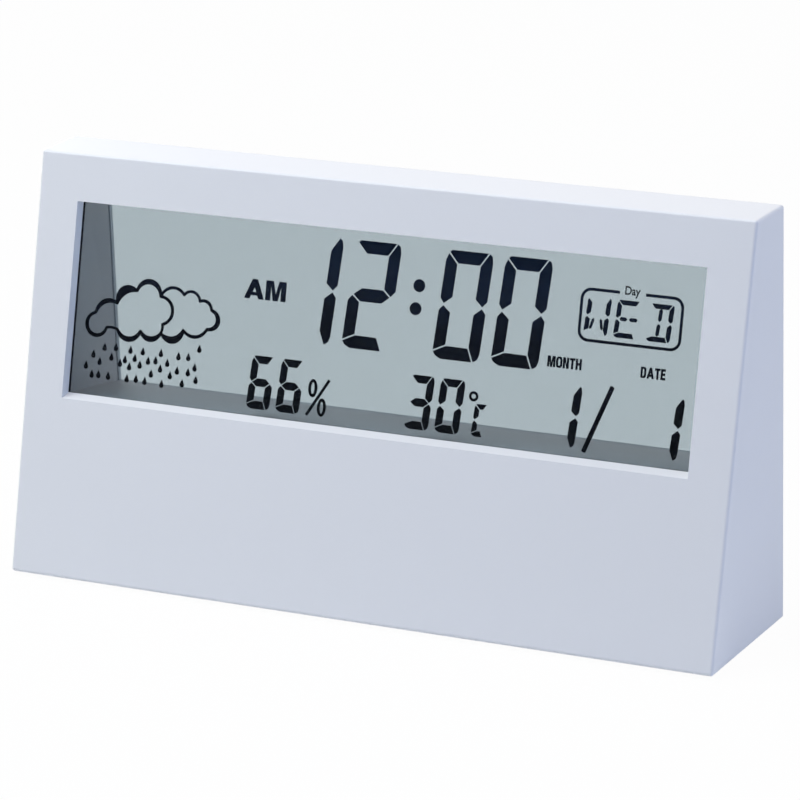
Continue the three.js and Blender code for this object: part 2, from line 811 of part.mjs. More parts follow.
// Battery door: snap lid with a sprung tongue, finger grooves and two lower tabs
function makeBatteryDoor() {
  const left = doorwayLeft + doorGap;
  const right = doorwayRight - doorGap;
  const low = doorwayBottom + doorGap;
  const high = doorwayTop - doorGap;
  const lid = plate(left, right, low, high, -doorThickness, 0, doorCorner);
  const hook = block(doorMiddle - hookWidth / 2, doorMiddle + hookWidth / 2,
    -doorThickness + seatGap, -hookTop, high - hookReach, high + hookReach);
  const tabIn = -coverThickness - tabGap;
  const neckLow = bayBottom + 2 * seatGap;
  const tabs = tabSpots.map((x) => join([
    block(x - tabWidth / 2, x + tabWidth / 2, tabIn - tabThickness, -doorThickness / 2,
      neckLow, neckLow + tabThickness),
    block(x - tabWidth / 2, x + tabWidth / 2, tabIn - tabThickness, tabIn,
      low - tabReach, neckLow + tabThickness),
  ]));
  const slots = [-1, 1].map((side) => {
    const x = doorMiddle + side * (tongueWidth / 2 - tongueSlot / 2);
    return block(x - tongueSlot / 2, x + tongueSlot / 2, -doorThickness - cutOver, cutOver,
      high - tongueLength, high + cutOver);
  });
  const grooves = [];
  for (let i = 0; i < gripGrooves; i += 1) {
    const z = high - (i + 1) * gripPitch;
    grooves.push(block(doorMiddle - gripHalf, doorMiddle + gripHalf, -gripPitch / 4, cutOver,
      z - gripPitch / 4, z + gripPitch / 4));
  }
  return join([lid, hook, ...tabs]).subtract(join([...slots, ...grooves]));
}

// Dry cell lying along x, its nub towards +x or -x
function makeCell(start, z, towards) {
  const profile = [
    [0, 0],
    [cellRadius - cellEdge, 0],
    [cellRadius - cellEdge / 4, cellEdge / 3],
    [cellRadius, cellEdge],
    [cellRadius, cellBody - cellEdge],
    [cellRadius - cellEdge / 4, cellBody - cellEdge / 4],
    [cellRadius - 1.4 * cellEdge, cellBody],
    [1.05 * nubRadius, cellBody],
    [nubRadius, cellBody + 0.8 * nubHeight],
    [0.85 * nubRadius, cellBody + nubHeight],
    [0, cellBody + nubHeight],
  ];
  const points = profile.map(([radius, along]) => new THREE.Vector2(radius, along));
  const geometry = new THREE.LatheGeometry(points, 20);
  geometry.rotateZ((-towards * Math.PI) / 2);
  geometry.translate(start, -cellDepth, z);
  return solid(geometry);
}

// Conical contact spring along x, from its plate towards the cell
function makeSpring(plateX, z, towards) {
  const count = springTurns * springSteps;
  const start = springWire / 6;
  const rise = contactRoom - seatGap - springWire / 2 - start;
  const at = (turn) => {
    const share = turn / springTurns;
    const radius = springBase + (springTip - springBase) * share;
    const angle = 2 * Math.PI * turn;
    return new THREE.Vector3(
      plateX + towards * (start + rise * share),
      -cellDepth + radius * Math.cos(angle),
      z + radius * Math.sin(angle),
    );
  };
  const points = [];
  for (let i = 0; i <= count; i += 1) points.push(at(i / springSteps));
  const straightOn = (from, next) => from.clone()
    .add(from.clone().sub(next).setX(0).normalize().multiplyScalar(springWire));
  points.unshift(straightOn(points[0], points[1]));
  points.push(straightOn(points[count + 1], points[count]));
  let least = Infinity;
  for (let i = 0; i < points.length; i += 1) {
    for (let j = i + springSteps / 2; j < points.length; j += 1) {
      least = Math.min(least, points[i].distanceTo(points[j]) - springWire);
    }
  }
  console.log(`contact spring: least gap to itself ${least.toFixed(2)} mm`);
  return tube(points, springWire / 2, springSides, count + 4);
}

// The round bump of a positive contact
function makeBump(plateX, z, towards) {
  const geometry = new THREE.CylinderGeometry(bumpTop, bumpFoot, contactBump + seatGap, 16);
  geometry.rotateZ((-towards * Math.PI) / 2);
  geometry.translate(plateX + (towards * (contactBump - seatGap)) / 2, -cellDepth, z);
  return solid(geometry);
}

// A contact's upright strip, with or without a solder tab through the bay floor
function contactStrip(x, z0, z1, tabZ) {
  const strip = block(x, x + contactSheet, -bayFloor + stripInset,
    -doorThickness - tabThickness - stripInset, z0, z1);
  if (tabZ === null) return strip;
  return strip.add(block(x, x + contactSheet, -bayFloor - bayWall - solderReach, -bayFloor + cutOver,
    tabZ - solderTab / 2, tabZ + solderTab / 2));
}

// Pan-head screw along y with a cross recess; its head points outwards or inwards
function makeScrew(x, z, headY, outwards) {
  const profile = [
    [0, -screwLength],
    [screwRadius * 0.5, -screwLength],
    [screwRadius, -screwLength + screwTip],
    [screwRadius, 0],
    [screwHeadRadius, 0],
    [screwHeadRadius, screwHeadHeight * 0.45],
    [screwHeadRadius * 0.7, screwHeadHeight],
    [0, screwHeadHeight],
  ];
  const body = turned(0, 0, profile, 14);
  const reach = screwHeadRadius * 0.62;
  const deep = screwHeadHeight * 0.55;
  const half = recessWidth / 2;
  const recess = block(-reach, reach, deep, cutOver, -half, half)
    .add(block(-half, half, deep, cutOver, -reach, reach));
  const turn = outwards ? 0 : 180;
  return body.subtract(recess).rotate([turn, 0, 0]).translate([x, headY, z]);
}

// Main board, with its screw holes
function makeBoard() {
  const board = plate(boardLeft, boardRight, boardBottom, boardTop, -boardFront, -boardDepth, boardCorner);
  return board.subtract(join(boardScrewSpots.map(([x, z]) => bar(x, z, screwHoleRadius,
    -boardFront - cutOver, -boardDepth + cutOver, 16))));
}

// Epoxy dome over the clock chip, on the front of the board
function makeChipBlob() {
  const points = [[0, -chipHeight]];
  for (let i = 1; i <= 5; i += 1) {
    const angle = (Math.PI / 2) * (i / 5);
    points.push([chipRadius * Math.sin(angle), -chipHeight * Math.cos(angle)]);
  }
  points.push([0, 0]);
  return turned(chipX, chipZ, points).translate([0, -boardFront - seatGap, 0]);
}

// A can lying along x on the front of the board
function makeCan(x0, x1, z, radius) {
  const points = [
    [0, x0],
    [radius - canEdge, x0],
    [radius, x0 + canEdge],
    [radius, x1 - canEdge],
    [radius - canEdge, x1],
    [0, x1],
  ].map(([r, along]) => new THREE.Vector2(r, along));
  const geometry = new THREE.LatheGeometry(points, 14);
  geometry.rotateZ(-Math.PI / 2);
  geometry.translate(0, -boardFront - seatGap - radius, z);
  return solid(geometry);
}

// Tact switch body on the back of the board, bored for its plunger
function makeSwitch(x) {
  const back = -boardDepth + seatGap;
  const half = switchSide / 2;
  const body = plate(x - half, x + half, buttonHeight - half, buttonHeight + half,
    back, back + switchHeight, switchCorner);
  return body.subtract(bar(x, buttonHeight, plungerRadius + runClearance,
    back + switchHeight - plungerBore, back + switchHeight + cutOver, 14));
}

// Switch plunger, resting against the button's stem
function makePlunger(x) {
  const top = -plungerTop;
  return turned(x, buttonHeight, [
    [0, top - plungerProud - plungerBore + buttonTravel + seatGap],
    [plungerRadius, top - plungerProud - plungerBore + buttonTravel + seatGap],
    [plungerRadius, top - plungerEdge],
    [plungerRadius - plungerEdge, top],
    [0, top],
  ], 14);
}

// Rear button: domed cap, flange behind the cover and stem on to the switch
function makeButton(x) {
  return turned(x, buttonHeight, [
    [0, -stemEnd],
    [stemRadius, -stemEnd],
    [stemRadius, -stemStart - buttonFlange],
    [flangeRadius, -stemStart - buttonFlange],
    [flangeRadius, -stemStart],
    [buttonRadius, -stemStart],
    [buttonRadius, buttonProud - capEdge],
    [buttonRadius - capShoulder / 4, buttonProud - capEdge / 3],
    [buttonRadius - capShoulder, buttonProud],
    [0, buttonProud],
  ], 24);
}

// Piezo disc glued behind the sound holes
function makeBuzzer() {
  const back = -coverThickness - seatGap;
  return turned(buzzerX, buzzerZ, [
    [0, back - 2 * buzzerSheet],
    [ceramicRadius, back - 2 * buzzerSheet],
    [ceramicRadius, back - buzzerSheet],
    [buzzerRadius, back - buzzerSheet],
    [buzzerRadius, back],
    [0, back],
  ], 24);
}

// Slotted cage of the humidity sensor, on the back of the board behind the vents
function makeHumiditySensor() {
  const back = -boardDepth + seatGap;
  const x = buzzerX - sensorSpread;
  const body = plate(x - cageHalf, x + cageHalf, ventZ - cageLow, ventZ + cageHigh,
    back, back + sensorHeight, cageCorner);
  const slots = [];
  for (let i = -1; i <= 1; i += 1) {
    const slotX = x + cagePitch * i;
    slots.push(block(slotX - cageSlot / 2, slotX + cageSlot / 2, back + sensorHeight / 2,
      back + sensorHeight + cutOver, ventZ - cageLow + cageSlot, ventZ + cageHigh - cageSlot));
  }
  return body.subtract(join(slots));
}

// Thermistor bead on its two legs
function makeTemperatureSensor() {
  const back = -boardDepth + seatGap;
  const x = buzzerX + sensorSpread;
  const bead = new THREE.SphereGeometry(beadRadius, 10, 8);
  bead.scale(1, 1.2, 0.8);
  bead.translate(x, back + sensorHeight, ventZ);
  const legs = [-1, 1].map((side) => bar(x + side * legSpread, ventZ, legRadius,
    back, back + sensorHeight, 8));
  return join([solid(bead), ...legs]);
}

// A wire through points given in the rear frame
function makeWire(points, radius) {
  const route = points.map(([x, y, z]) => new THREE.Vector3(x, y, z));
  return tube(route, radius, wireSides, wireSteps);
}

// Assembly
addPiece(clock, 'front_housing', makeFrontHousing(), 'case_white');
addPiece(rearFrame, 'rear_cover', makeRearCover(), 'case_white');
addPiece(frontFrame, 'display_frame', makeDisplayFrame(), 'case_white');
addPiece(frontFrame, 'front_lens', layer(lensDepth, lensThickness, glassBottom, 0), 'clear');
addPiece(frontFrame, 'display_gasket', makeGasket(), 'black_foam');
addPiece(frontFrame, 'front_polariser',
  layer(frontFilmDepth, polariserThickness, rearGlassBottom - polariserInset, polariserInset), 'film');
addPiece(frontFrame, 'lcd_front_glass', layer(frontGlassDepth, glassThickness, glassBottom, 0), 'clear');
addPiece(frontFrame, 'lcd_rear_glass', layer(rearGlassDepth, glassThickness, rearGlassBottom, 0), 'clear');
addPiece(frontFrame, 'rear_polariser',
  layer(rearFilmDepth, polariserThickness, rearGlassBottom - polariserInset, polariserInset), 'film');
addPiece(rearFrame, 'rear_window', plate(
  -wellRearHalf - paneLap + runClearance, wellRearHalf + paneLap - runClearance,
  wellRearBottom - paneLap + runClearance, wellRearTop + paneLap - runClearance,
  -paneThickness, 0, paneCorner - runClearance,
), 'clear');
addPiece(clock, 'lcd_ribbon', makeRibbon(), 'ribbon');
addPiece(rearFrame, 'main_board', makeBoard(), 'board');
addPiece(rearFrame, 'chip_blob', makeChipBlob(), 'epoxy');
addPiece(rearFrame, 'crystal', makeCan(crystalX, crystalX + crystalLength, crystalZ, crystalRadius), 'steel');
addPiece(rearFrame, 'capacitor',
  makeCan(capacitorX, capacitorX + capacitorLength, capacitorZ, capacitorRadius), 'sleeve_black');
addPiece(rearFrame, 'humidity_sensor', makeHumiditySensor(), 'sensor_blue');
addPiece(rearFrame, 'temperature_sensor', makeTemperatureSensor(), 'epoxy');
addPiece(rearFrame, 'buzzer', makeBuzzer(), 'brass');

buttonSpots.forEach((x, index) => {
  addPiece(rearFrame, `switch_${index + 1}`, makeSwitch(x), 'sleeve_black');
  addPiece(rearFrame, `plunger_${index + 1}`, makePlunger(x), 'epoxy');
  addPiece(rearFrame, `button_${index + 1}`, makeButton(x), 'case_white');
});

// Cells: the upper one has its nub to the left, the lower one to the right
const leftFace = contactLeft + contactSheet;
const nubReach = contactBump + seatGap;
addPiece(rearFrame, 'battery_1', makeCell(leftFace + nubReach + cellLength, cellHigh, -1), 'cell_wrap');
addPiece(rearFrame, 'battery_2', makeCell(contactRight - nubReach - cellLength, cellLow, 1), 'cell_wrap');
addPiece(rearFrame, 'contact_positive',
  contactStrip(contactLeft, cellHigh - contactHalf, cellHigh + contactHalf, cellHigh)
    .add(makeBump(leftFace, cellHigh, 1)), 'steel');
addPiece(rearFrame, 'contact_negative',
  contactStrip(contactLeft, cellLow - contactHalf, cellLow + contactHalf, cellLow)
    .add(makeSpring(leftFace, cellLow, 1)), 'steel');
addPiece(rearFrame, 'contact_link',
  contactStrip(contactRight, cellLow - contactHalf, cellHigh + contactHalf, null)
    .add(makeBump(contactRight, cellLow, -1))
    .add(makeSpring(contactRight, cellHigh, -1)), 'steel');
addPiece(rearFrame, 'battery_door', makeBatteryDoor(), 'case_white');

// Wires: solder tabs to the board's front, sounder to the board's back
const tabEnd = -bayFloor - bayWall - solderReach / 2 - wireRadius / 2;
const boardPad = -boardFront - seatGap;
const padX = boardRight - padInset - wireRadius;
const batteryWire = (z, rise) => [
  [contactLeft - seatGap, tabEnd, z],
  [contactLeft - wireStraight, tabEnd, z],
  [bayLeft - bayWall - 1.5 * wireStraight, tabEnd - wireRadius, z + rise * 0.4],
  [padX + wireRadius, boardPad - 1.7 * wireStraight, z + rise * 0.8],
  [padX, boardPad - 0.7 * wireStraight, z + rise],
  [padX, boardPad, z + rise],
];
const buzzerFace = -coverThickness - seatGap - 2 * buzzerSheet - seatGap;
const wireSlack = boardDepth + buzzerFace;
const buzzerWire = (z) => [
  [buzzerX, buzzerFace, z],
  [buzzerX, buzzerFace - 0.15 * wireSlack, z],
  [buzzerX - 0.3 * wireSlack, buzzerFace - 0.5 * wireSlack, z],
  [buzzerX - 0.5 * wireSlack, buzzerFace - 0.75 * wireSlack, z],
  [buzzerX - 0.52 * wireSlack, buzzerFace - 0.9 * wireSlack, z],
  [buzzerX - 0.52 * wireSlack, -boardDepth + seatGap, z],
];
addPiece(rearFrame, 'battery_wire_1', makeWire(batteryWire(cellHigh, -padRise), wireRadius), 'wire_red');
addPiece(rearFrame, 'battery_wire_2', makeWire(batteryWire(cellLow, padRise), wireRadius), 'wire_black');
addPiece(rearFrame, 'buzzer_wire_1', makeWire(buzzerWire(buzzerZ + wireSpread), fineWire), 'wire_red');
addPiece(rearFrame, 'buzzer_wire_2', makeWire(buzzerWire(buzzerZ - wireSpread), fineWire), 'wire_black');

coverScrewSpots.forEach(([x, z], index) => {
  addPiece(rearFrame, `cover_screw_${index + 1}`, makeScrew(x, z, -counterbore + seatGap, true), 'steel');
});
boardScrewSpots.forEach(([x, z], index) => {
  addPiece(rearFrame, `board_screw_${index + 1}`, makeScrew(x, z, -boardFront - seatGap, false), 'steel');
});
footSpots.forEach(([x, y], index) => {
  addPiece(clock, `foot_${index + 1}`, makeFoot(x, y), 'rubber');
});

// The buttons stand a little proud of the rear edge, so the clock is moved to
// put the origin under the middle of its whole depth
const buttonTip = new THREE.Vector3(0, buttonProud, buttonHeight - buttonRadius + capShoulder)
  .applyMatrix4(rearFrame.matrixWorld);
const middleY = (buttonTip.y - bodyDepth / 2) / 2;
clock.position.y = -Math.max(middleY, 0);
const part = new THREE.Group();
part.add(clock);

export default part;
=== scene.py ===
import json
import math
import bmesh
import bpy
from mathutils import Matrix, Vector

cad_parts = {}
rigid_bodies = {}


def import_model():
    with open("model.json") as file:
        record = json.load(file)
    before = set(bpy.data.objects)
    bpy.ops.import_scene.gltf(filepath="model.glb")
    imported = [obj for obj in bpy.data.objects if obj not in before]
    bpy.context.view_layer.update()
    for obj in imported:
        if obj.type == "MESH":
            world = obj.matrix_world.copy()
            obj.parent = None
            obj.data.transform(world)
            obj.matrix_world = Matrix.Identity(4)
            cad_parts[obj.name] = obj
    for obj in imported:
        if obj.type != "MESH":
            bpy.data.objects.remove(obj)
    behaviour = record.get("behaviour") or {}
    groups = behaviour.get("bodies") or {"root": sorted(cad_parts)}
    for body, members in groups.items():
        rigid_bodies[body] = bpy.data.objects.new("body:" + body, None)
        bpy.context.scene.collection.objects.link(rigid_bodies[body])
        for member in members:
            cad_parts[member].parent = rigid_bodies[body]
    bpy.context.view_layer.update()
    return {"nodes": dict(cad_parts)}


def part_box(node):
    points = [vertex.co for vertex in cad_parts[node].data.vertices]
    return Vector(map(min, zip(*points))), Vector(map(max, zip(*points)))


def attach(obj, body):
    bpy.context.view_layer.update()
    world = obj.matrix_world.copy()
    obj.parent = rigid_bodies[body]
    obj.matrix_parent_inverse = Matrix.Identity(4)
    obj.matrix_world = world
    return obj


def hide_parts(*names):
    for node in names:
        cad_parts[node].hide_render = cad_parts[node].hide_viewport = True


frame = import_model()
nodes = frame["nodes"]
mm = 0.001
rearward = Vector((0, 1, 0))
flatness = 0.02 * mm   # how far off a face a corner may lie and count as on it
facing = 0.8           # the least cosine at which a face counts as looking a way
scene = bpy.context.scene
print("frame loaded:", len(nodes), "nodes")

cameraView = {
    "azimuth": 26.25,      # degrees, round to the clock's right
    "elevation": 17.36,    # degrees above the table
    "roll": -1.25,         # degrees
    "distance": 714.03,    # mm from the aim
    "aim": (3.53, -0.33, 38.33),   # mm
    "lens": 177.65,        # mm on a 36 mm sensor
}


def makeCamera(view):
    az, el, roll = (math.radians(view[key]) for key in ("azimuth", "elevation", "roll"))
    back = Vector((math.sin(az) * math.cos(el), -math.cos(az) * math.cos(el), math.sin(el)))
    right = (-back).cross(Vector((0, 0, 1))).normalized()
    up = right.cross(-back)
    across = math.cos(roll) * right + math.sin(roll) * up
    upright = -math.sin(roll) * right + math.cos(roll) * up
    camera = bpy.data.objects.new("camera", bpy.data.cameras.new("camera"))
    camera.data.lens = view["lens"]
    camera.data.sensor_width = 36
    camera.data.clip_start = 0.01
    place = (Vector(view["aim"]) + back * view["distance"]) * mm
    turn = Matrix((across, upright, back)).transposed()
    camera.matrix_world = Matrix.Translation(place) @ turn.to_4x4()
    scene.collection.objects.link(camera)
    scene.camera = camera


makeCamera(cameraView)
scene.view_settings.view_transform = "Standard"
scene.cycles.transparent_max_bounces = 32   # lens, display and pane are twelve faces deep
print("camera placed")


class Value:   # a node's socket that Python sums can use
    def __init__(self, home, socket):
        self.home = home
        self.socket = socket

    def maths(self, operation, first, second):
        return self.home.add("ShaderNodeMath", {"operation": operation}, [first, second])

    def __add__(self, other):
        return self.maths("ADD", self, other)

    def __radd__(self, other):
        return self.maths("ADD", other, self)

    def __sub__(self, other):
        return self.maths("SUBTRACT", self, other)

    def __rsub__(self, other):
        return self.maths("SUBTRACT", other, self)

    def __mul__(self, other):
        return self.maths("MULTIPLY", self, other)

    def __rmul__(self, other):
        return self.maths("MULTIPLY", other, self)

    def __gt__(self, other):
        return self.maths("GREATER_THAN", self, other)

    def __lt__(self, other):
        return self.maths("LESS_THAN", self, other)


class Nodes:   # a node tree, and the one method that adds a node to it
    def __init__(self, tree):
        self.tree = tree

    def add(self, kind, settings, inputs, output=0):
        node = self.tree.nodes.new(kind)
        for name, value in settings.items():
            if name == "stops":
                self.setStops(node.color_ramp.elements, value)
            else:
                setattr(node, name, value)
        pairs = inputs.items() if isinstance(inputs, dict) else enumerate(inputs)
        for key, value in pairs:
            self.give(node.inputs[key], value)
        return Value(self, node.outputs[output])

    def give(self, socket, value):
        if isinstance(value, Value):
            self.tree.links.new(value.socket, socket)
        else:
            socket.default_value = value

    def setStops(self, elements, stops):
        while len(elements) < len(stops):
            elements.new(1)
        for stop, (spot, colour) in zip(list(elements), stops):
            stop.position, stop.color = spot, (*colour, 1)

    def larger(self, first, second):
        return self.add("ShaderNodeMath", {"operation": "MAXIMUM"}, [first, second])


class Finish(Nodes):   # a material: one Principled shader and what feeds it
    def __init__(self, name, **fixed):
        self.material = bpy.data.materials.new(name)
        self.material.use_nodes = True
        super().__init__(self.material.node_tree)
        self.shader = self.tree.nodes["Principled BSDF"]
        self.plain = Value(self, self.shader.outputs[0])
        self.place = self.add("ShaderNodeTexCoord", {}, [], "Object")
        for socket, value in fixed.items():
            self.feed(socket.replace("_", " "), value)

    def feed(self, socket, value):   # a colour may be a plain triple
        if isinstance(value, tuple) and len(value) == 3:
            value = (*value, 1)
        self.give(self.shader.inputs[socket], value)

    def blend(self, share, first, second):   # shows this in place of the plain shader
        look = self.add("ShaderNodeMixShader", {}, [share, first, second])
        self.give(self.tree.nodes["Material Output"].inputs["Surface"], look)

    def noise(self, size, detail=2, stretch=(1, 1, 1)):   # size in mm
        spot = self.add("ShaderNodeMapping", {}, {"Vector": self.place, "Scale": stretch})
        return self.add("ShaderNodeTexNoise", {}, {
            "Vector": spot, "Scale": 1 / (size * mm), "Detail": detail, "Roughness": 0.55})

    def ramp(self, value, stops):
        return self.add("ShaderNodeValToRGB", {"stops": stops}, [value])

    def mix(self, share, first, second):   # sockets 6, 7 and 2 are the colour ones
        colours = [value if isinstance(value, Value) else (*value, 1) for value in (first, second)]
        return self.add("ShaderNodeMix", {"data_type": "RGBA"},
                        {0: share, 6: colours[0], 7: colours[1]}, 2)

    def axis(self, letter):   # how far along an axis, in mm
        return self.add("ShaderNodeSeparateXYZ", {}, [self.place], letter) * 1000

    def bump(self, height, depth, strength=1.0):   # depth in mm
        self.feed("Normal", self.add("ShaderNodeBump", {}, {
            "Height": height, "Distance": depth * mm, "Strength": strength}))


def shade(colour, share):
    return tuple(share * part for part in colour)


def span(node, axis):   # a node's low and high along an axis, in mm
    low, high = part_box(node)
    return low[axis] / mm, high[axis] / mm


print("shader tools ready")

plastic = {
    "light": (0.80, 0.815, 0.850),
    "deep": (0.780, 0.795, 0.832),
    "wellShadeTint": (1.02, 0.94, 0.91),    # painted shade: the light well's tray is the case's white plastic, tinted a little warmer and darker in green and blue for the shade inside the well
    "grain": 0.16,         # mm, the fine spark texture of the mould
    "grainDepth": 0.006,
    "cloud": 30,           # mm, slow change of tone
    "handled": 9,          # mm, patches rubbed smoother
    "roughness": 0.42, "spread": 0.08,
}


def whitePlastic(name, tint=(1.0, 1.0, 1.0)):
    values = plastic
    finish = Finish(name, Specular_IOR_Level=0.45)
    tone = finish.noise(values["cloud"])
    grain = finish.noise(values["grain"], detail=3)
    handled = finish.noise(values["handled"], detail=3)
    # a tint other than white is painted shade, as on the light well's tray
    light, deep = (tuple(a * b for a, b in zip(values[key], tint)) for key in ("light", "deep"))
    finish.feed("Base Color", finish.mix(tone, deep, light))
    finish.feed("Roughness", values["roughness"] + values["spread"] * handled)
    finish.bump(grain, values["grainDepth"], strength=0.6)
    return finish.material


clear = {   # faceOn and edge: how much one face holds back, face on and at a glancing angle
    "lens": {"faceOn": 0.003, "edge": 0.40, "colour": (0.50, 0.58, 0.58)},
    "glass": {"faceOn": 0.002, "edge": 0.10, "colour": (0.35, 0.50, 0.47)},
    "smear": 0.002,        # finger marks and dust, on top of that
    "smearSize": 11,       # mm
    "smearTone": 0.94,     # their tone, as a share of the colour's
}


def clearFinish(name, kind):
    faceOn, edge, colour = (clear[kind][key] for key in ("faceOn", "edge", "colour"))
    finish = Finish(name, Roughness=0.04, Metallic=0.0, Specular_IOR_Level=0.8)
    glance = finish.add("ShaderNodeLayerWeight", {}, {"Blend": 0.35}, "Facing")
    smear = finish.noise(clear["smearSize"], detail=4)
    finish.feed("Base Color", finish.mix(smear, colour, shade(colour, clear["smearTone"])))
    finish.feed("Alpha", faceOn + (edge - faceOn) * glance * glance * glance
                + clear["smear"] * smear)
    return finish.material


film = {
    "tint": (0.797, 0.830, 0.844),     # what one face of the polarising film lets through
    "veil": 0.003,         # how much of its own grey it adds
    "veilLeast": 0.7, "veilSpread": 0.6,   # shares of the veil
    "colour": (0.20, 0.24, 0.25),
    "wave": 26,            # mm, slow change of tone
    "waveTone": 0.85,      # the darker tone, as a share of the colour's
}


def filmFinish(name):
    finish = Finish(name, Roughness=0.22, Specular_IOR_Level=0.3)
    wave = finish.noise(film["wave"])
    darker = shade(film["colour"], film["waveTone"])
    finish.feed("Base Color", finish.mix(wave, film["colour"], darker))
    tint = finish.add("ShaderNodeBsdfTransparent", {}, {"Color": (*film["tint"], 1)})
    veil = film["veil"] * (film["veilLeast"] + film["veilSpread"] * wave)
    finish.blend(veil, tint, finish.plain)
    return finish.material


foam = {
    "cells": 4500,         # to a metre
    "depth": 0.03,         # mm
    "tones": ((0.008, 0.008, 0.010), (0.030, 0.030, 0.034)),
    "roughness": 0.80, "spread": 0.15,
}


def foamFinish(name):
    finish = Finish(name, Specular_IOR_Level=0.2)
    cells = finish.add("ShaderNodeTexVoronoi", {}, {
        "Vector": finish.place, "Scale": foam["cells"]})
    finish.feed("Base Color", finish.mix(cells, *foam["tones"]))
    finish.feed("Roughness", foam["roughness"] + foam["spread"] * cells)
    finish.bump(cells, foam["depth"])
    return finish.material


ink = {
    "low": (0.0015, 0.002, 0.006), "middle": (0.004, 0.006, 0.016), "high": (0.019, 0.034, 0.078),
    "from": 37, "to": 66,  # mm up the clock that the tones are spread over
    "patch": 14,           # mm, slow change of tone
    "patchShare": 0.3,
    "roughness": 0.44, "spread": 0.1,
}


def inkFinish(name):   # near black, and bluer towards the top of the display
    finish = Finish(name, Specular_IOR_Level=0.04)
    patch = finish.noise(ink["patch"])
    climb = (finish.axis("Z") - ink["from"]) * (1 / (ink["to"] - ink["from"]))
    share = climb + ink["patchShare"] * (patch - 0.5)
    finish.feed("Base Color", finish.ramp(share, [
        (0.0, ink["low"]), (0.5, ink["middle"]), (1.0, ink["high"])]))
    finish.feed("Roughness", ink["roughness"] + ink["spread"] * patch)
    return finish.material


ribbon = {
    "track": 1.25,         # mm from one printed track to the next
    "bare": 0.55,          # the share of that which is bare film
    "depth": 0.02,         # mm
    "film": (0.55, 0.30, 0.07), "ink": (0.035, 0.030, 0.028),
    "roughness": 0.35, "spread": 0.2,
}


def ribbonFinish(name):
    finish = Finish(name, Coat_Weight=0.4, Coat_Roughness=0.2)
    across = finish.axis("X") * (1 / ribbon["track"])
    line = finish.add("ShaderNodeMath", {"operation": "FRACT"}, [across]) > ribbon["bare"]
    finish.feed("Base Color", finish.mix(line, ribbon["film"], ribbon["ink"]))
    finish.feed("Roughness", ribbon["roughness"] + ribbon["spread"] * line)
    finish.bump(line, ribbon["depth"])
    return finish.material


board = {
    "mask": ((0.012, 0.095, 0.040), (0.018, 0.125, 0.055)), "track": (0.030, 0.205, 0.080),
    "pattern": {"Scale": 130, "Mortar Size": 0.035, "Brick Width": 0.9, "Row Height": 0.19},
    "stagger": 0.37,
    "grain": 1.2,          # mm
    "depth": 0.03,         # mm
    "roughness": 0.42, "spread": 0.12,
}


def boardFinish(name):   # solder mask over tracks that a brick pattern lays out
    finish = Finish(name, Coat_Weight=0.3, Coat_Roughness=0.25)
    flat = finish.add("ShaderNodeMapping", {}, {
        "Vector": finish.place, "Rotation": (math.radians(90), 0, 0)})
    tracks = finish.add("ShaderNodeTexBrick", {"offset": board["stagger"]},
                        {"Vector": flat, **board["pattern"]}, "Fac")
    grain = finish.noise(board["grain"], detail=3)
    mask = finish.mix(grain, *board["mask"])
    finish.feed("Base Color", finish.mix(tracks, mask, board["track"]))
    finish.feed("Roughness", board["roughness"] + board["spread"] * grain)
    finish.bump(tracks, board["depth"])
    return finish.material


speckled = {   # grain and depth in mm
    "legendInk": {"grain": 3, "detail": 2, "shine": 0.04, "roughness": 0.38, "spread": 0.1,
                  "tones": ((0.022, 0.026, 0.032), (0.040, 0.046, 0.054))},
    "printInk": {"grain": 3, "detail": 2, "shine": 0.04, "roughness": 0.38, "spread": 0.1,
                 "tones": ((0.16, 0.17, 0.18), (0.22, 0.23, 0.24))},
    "chipEpoxy": {"grain": 0.6, "detail": 4, "shine": 0.5, "roughness": 0.24, "spread": 0.22,
                  "tones": ((0.010, 0.010, 0.012), (0.022, 0.022, 0.0264)),
                  "depth": 0.02, "strength": 0.5},
    "switchBody": {"grain": 0.6, "detail": 4, "shine": 0.5, "roughness": 0.24, "spread": 0.22,
                   "tones": ((0.014, 0.014, 0.015), (0.0308, 0.0308, 0.033)),
                   "depth": 0.02, "strength": 0.5},
    "sensorCage": {"grain": 0.5, "detail": 3, "shine": 0.5, "roughness": 0.45, "spread": 0.12,
                   "tones": ((0.035, 0.120, 0.340), (0.060, 0.180, 0.460)),
                   "depth": 0.01, "strength": 1.0},
    "wireRed": {"grain": 0.9, "detail": 3, "shine": 0.4, "roughness": 0.36, "spread": 0.16,
                "tones": ((0.42, 0.018, 0.012), (0.294, 0.0126, 0.0084)),
                "depth": 0.015, "strength": 0.6},
    "wireBlack": {"grain": 0.9, "detail": 3, "shine": 0.4, "roughness": 0.36, "spread": 0.16,
                  "tones": ((0.020, 0.020, 0.022), (0.014, 0.014, 0.0154)),
                  "depth": 0.015, "strength": 0.6},
    "footRubber": {"grain": 0.35, "detail": 4, "shine": 0.35, "roughness": 0.72, "spread": 0.18,
                   "tones": ((0.020, 0.020, 0.022), (0.042, 0.042, 0.046)),
                   "depth": 0.02, "strength": 1.0},
}


def speckledFinish(name):   # two tones, a roughness and a relief that follow one fine grain
    values = speckled[name]
    finish = Finish(name, Specular_IOR_Level=values["shine"])
    grain = finish.noise(values["grain"], values["detail"])
    finish.feed("Base Color", finish.mix(grain, *values["tones"]))
    finish.feed("Roughness", values["roughness"] + values["spread"] * grain)
    if "depth" in values:
        finish.bump(grain, values["depth"], values["strength"])
    return finish.material


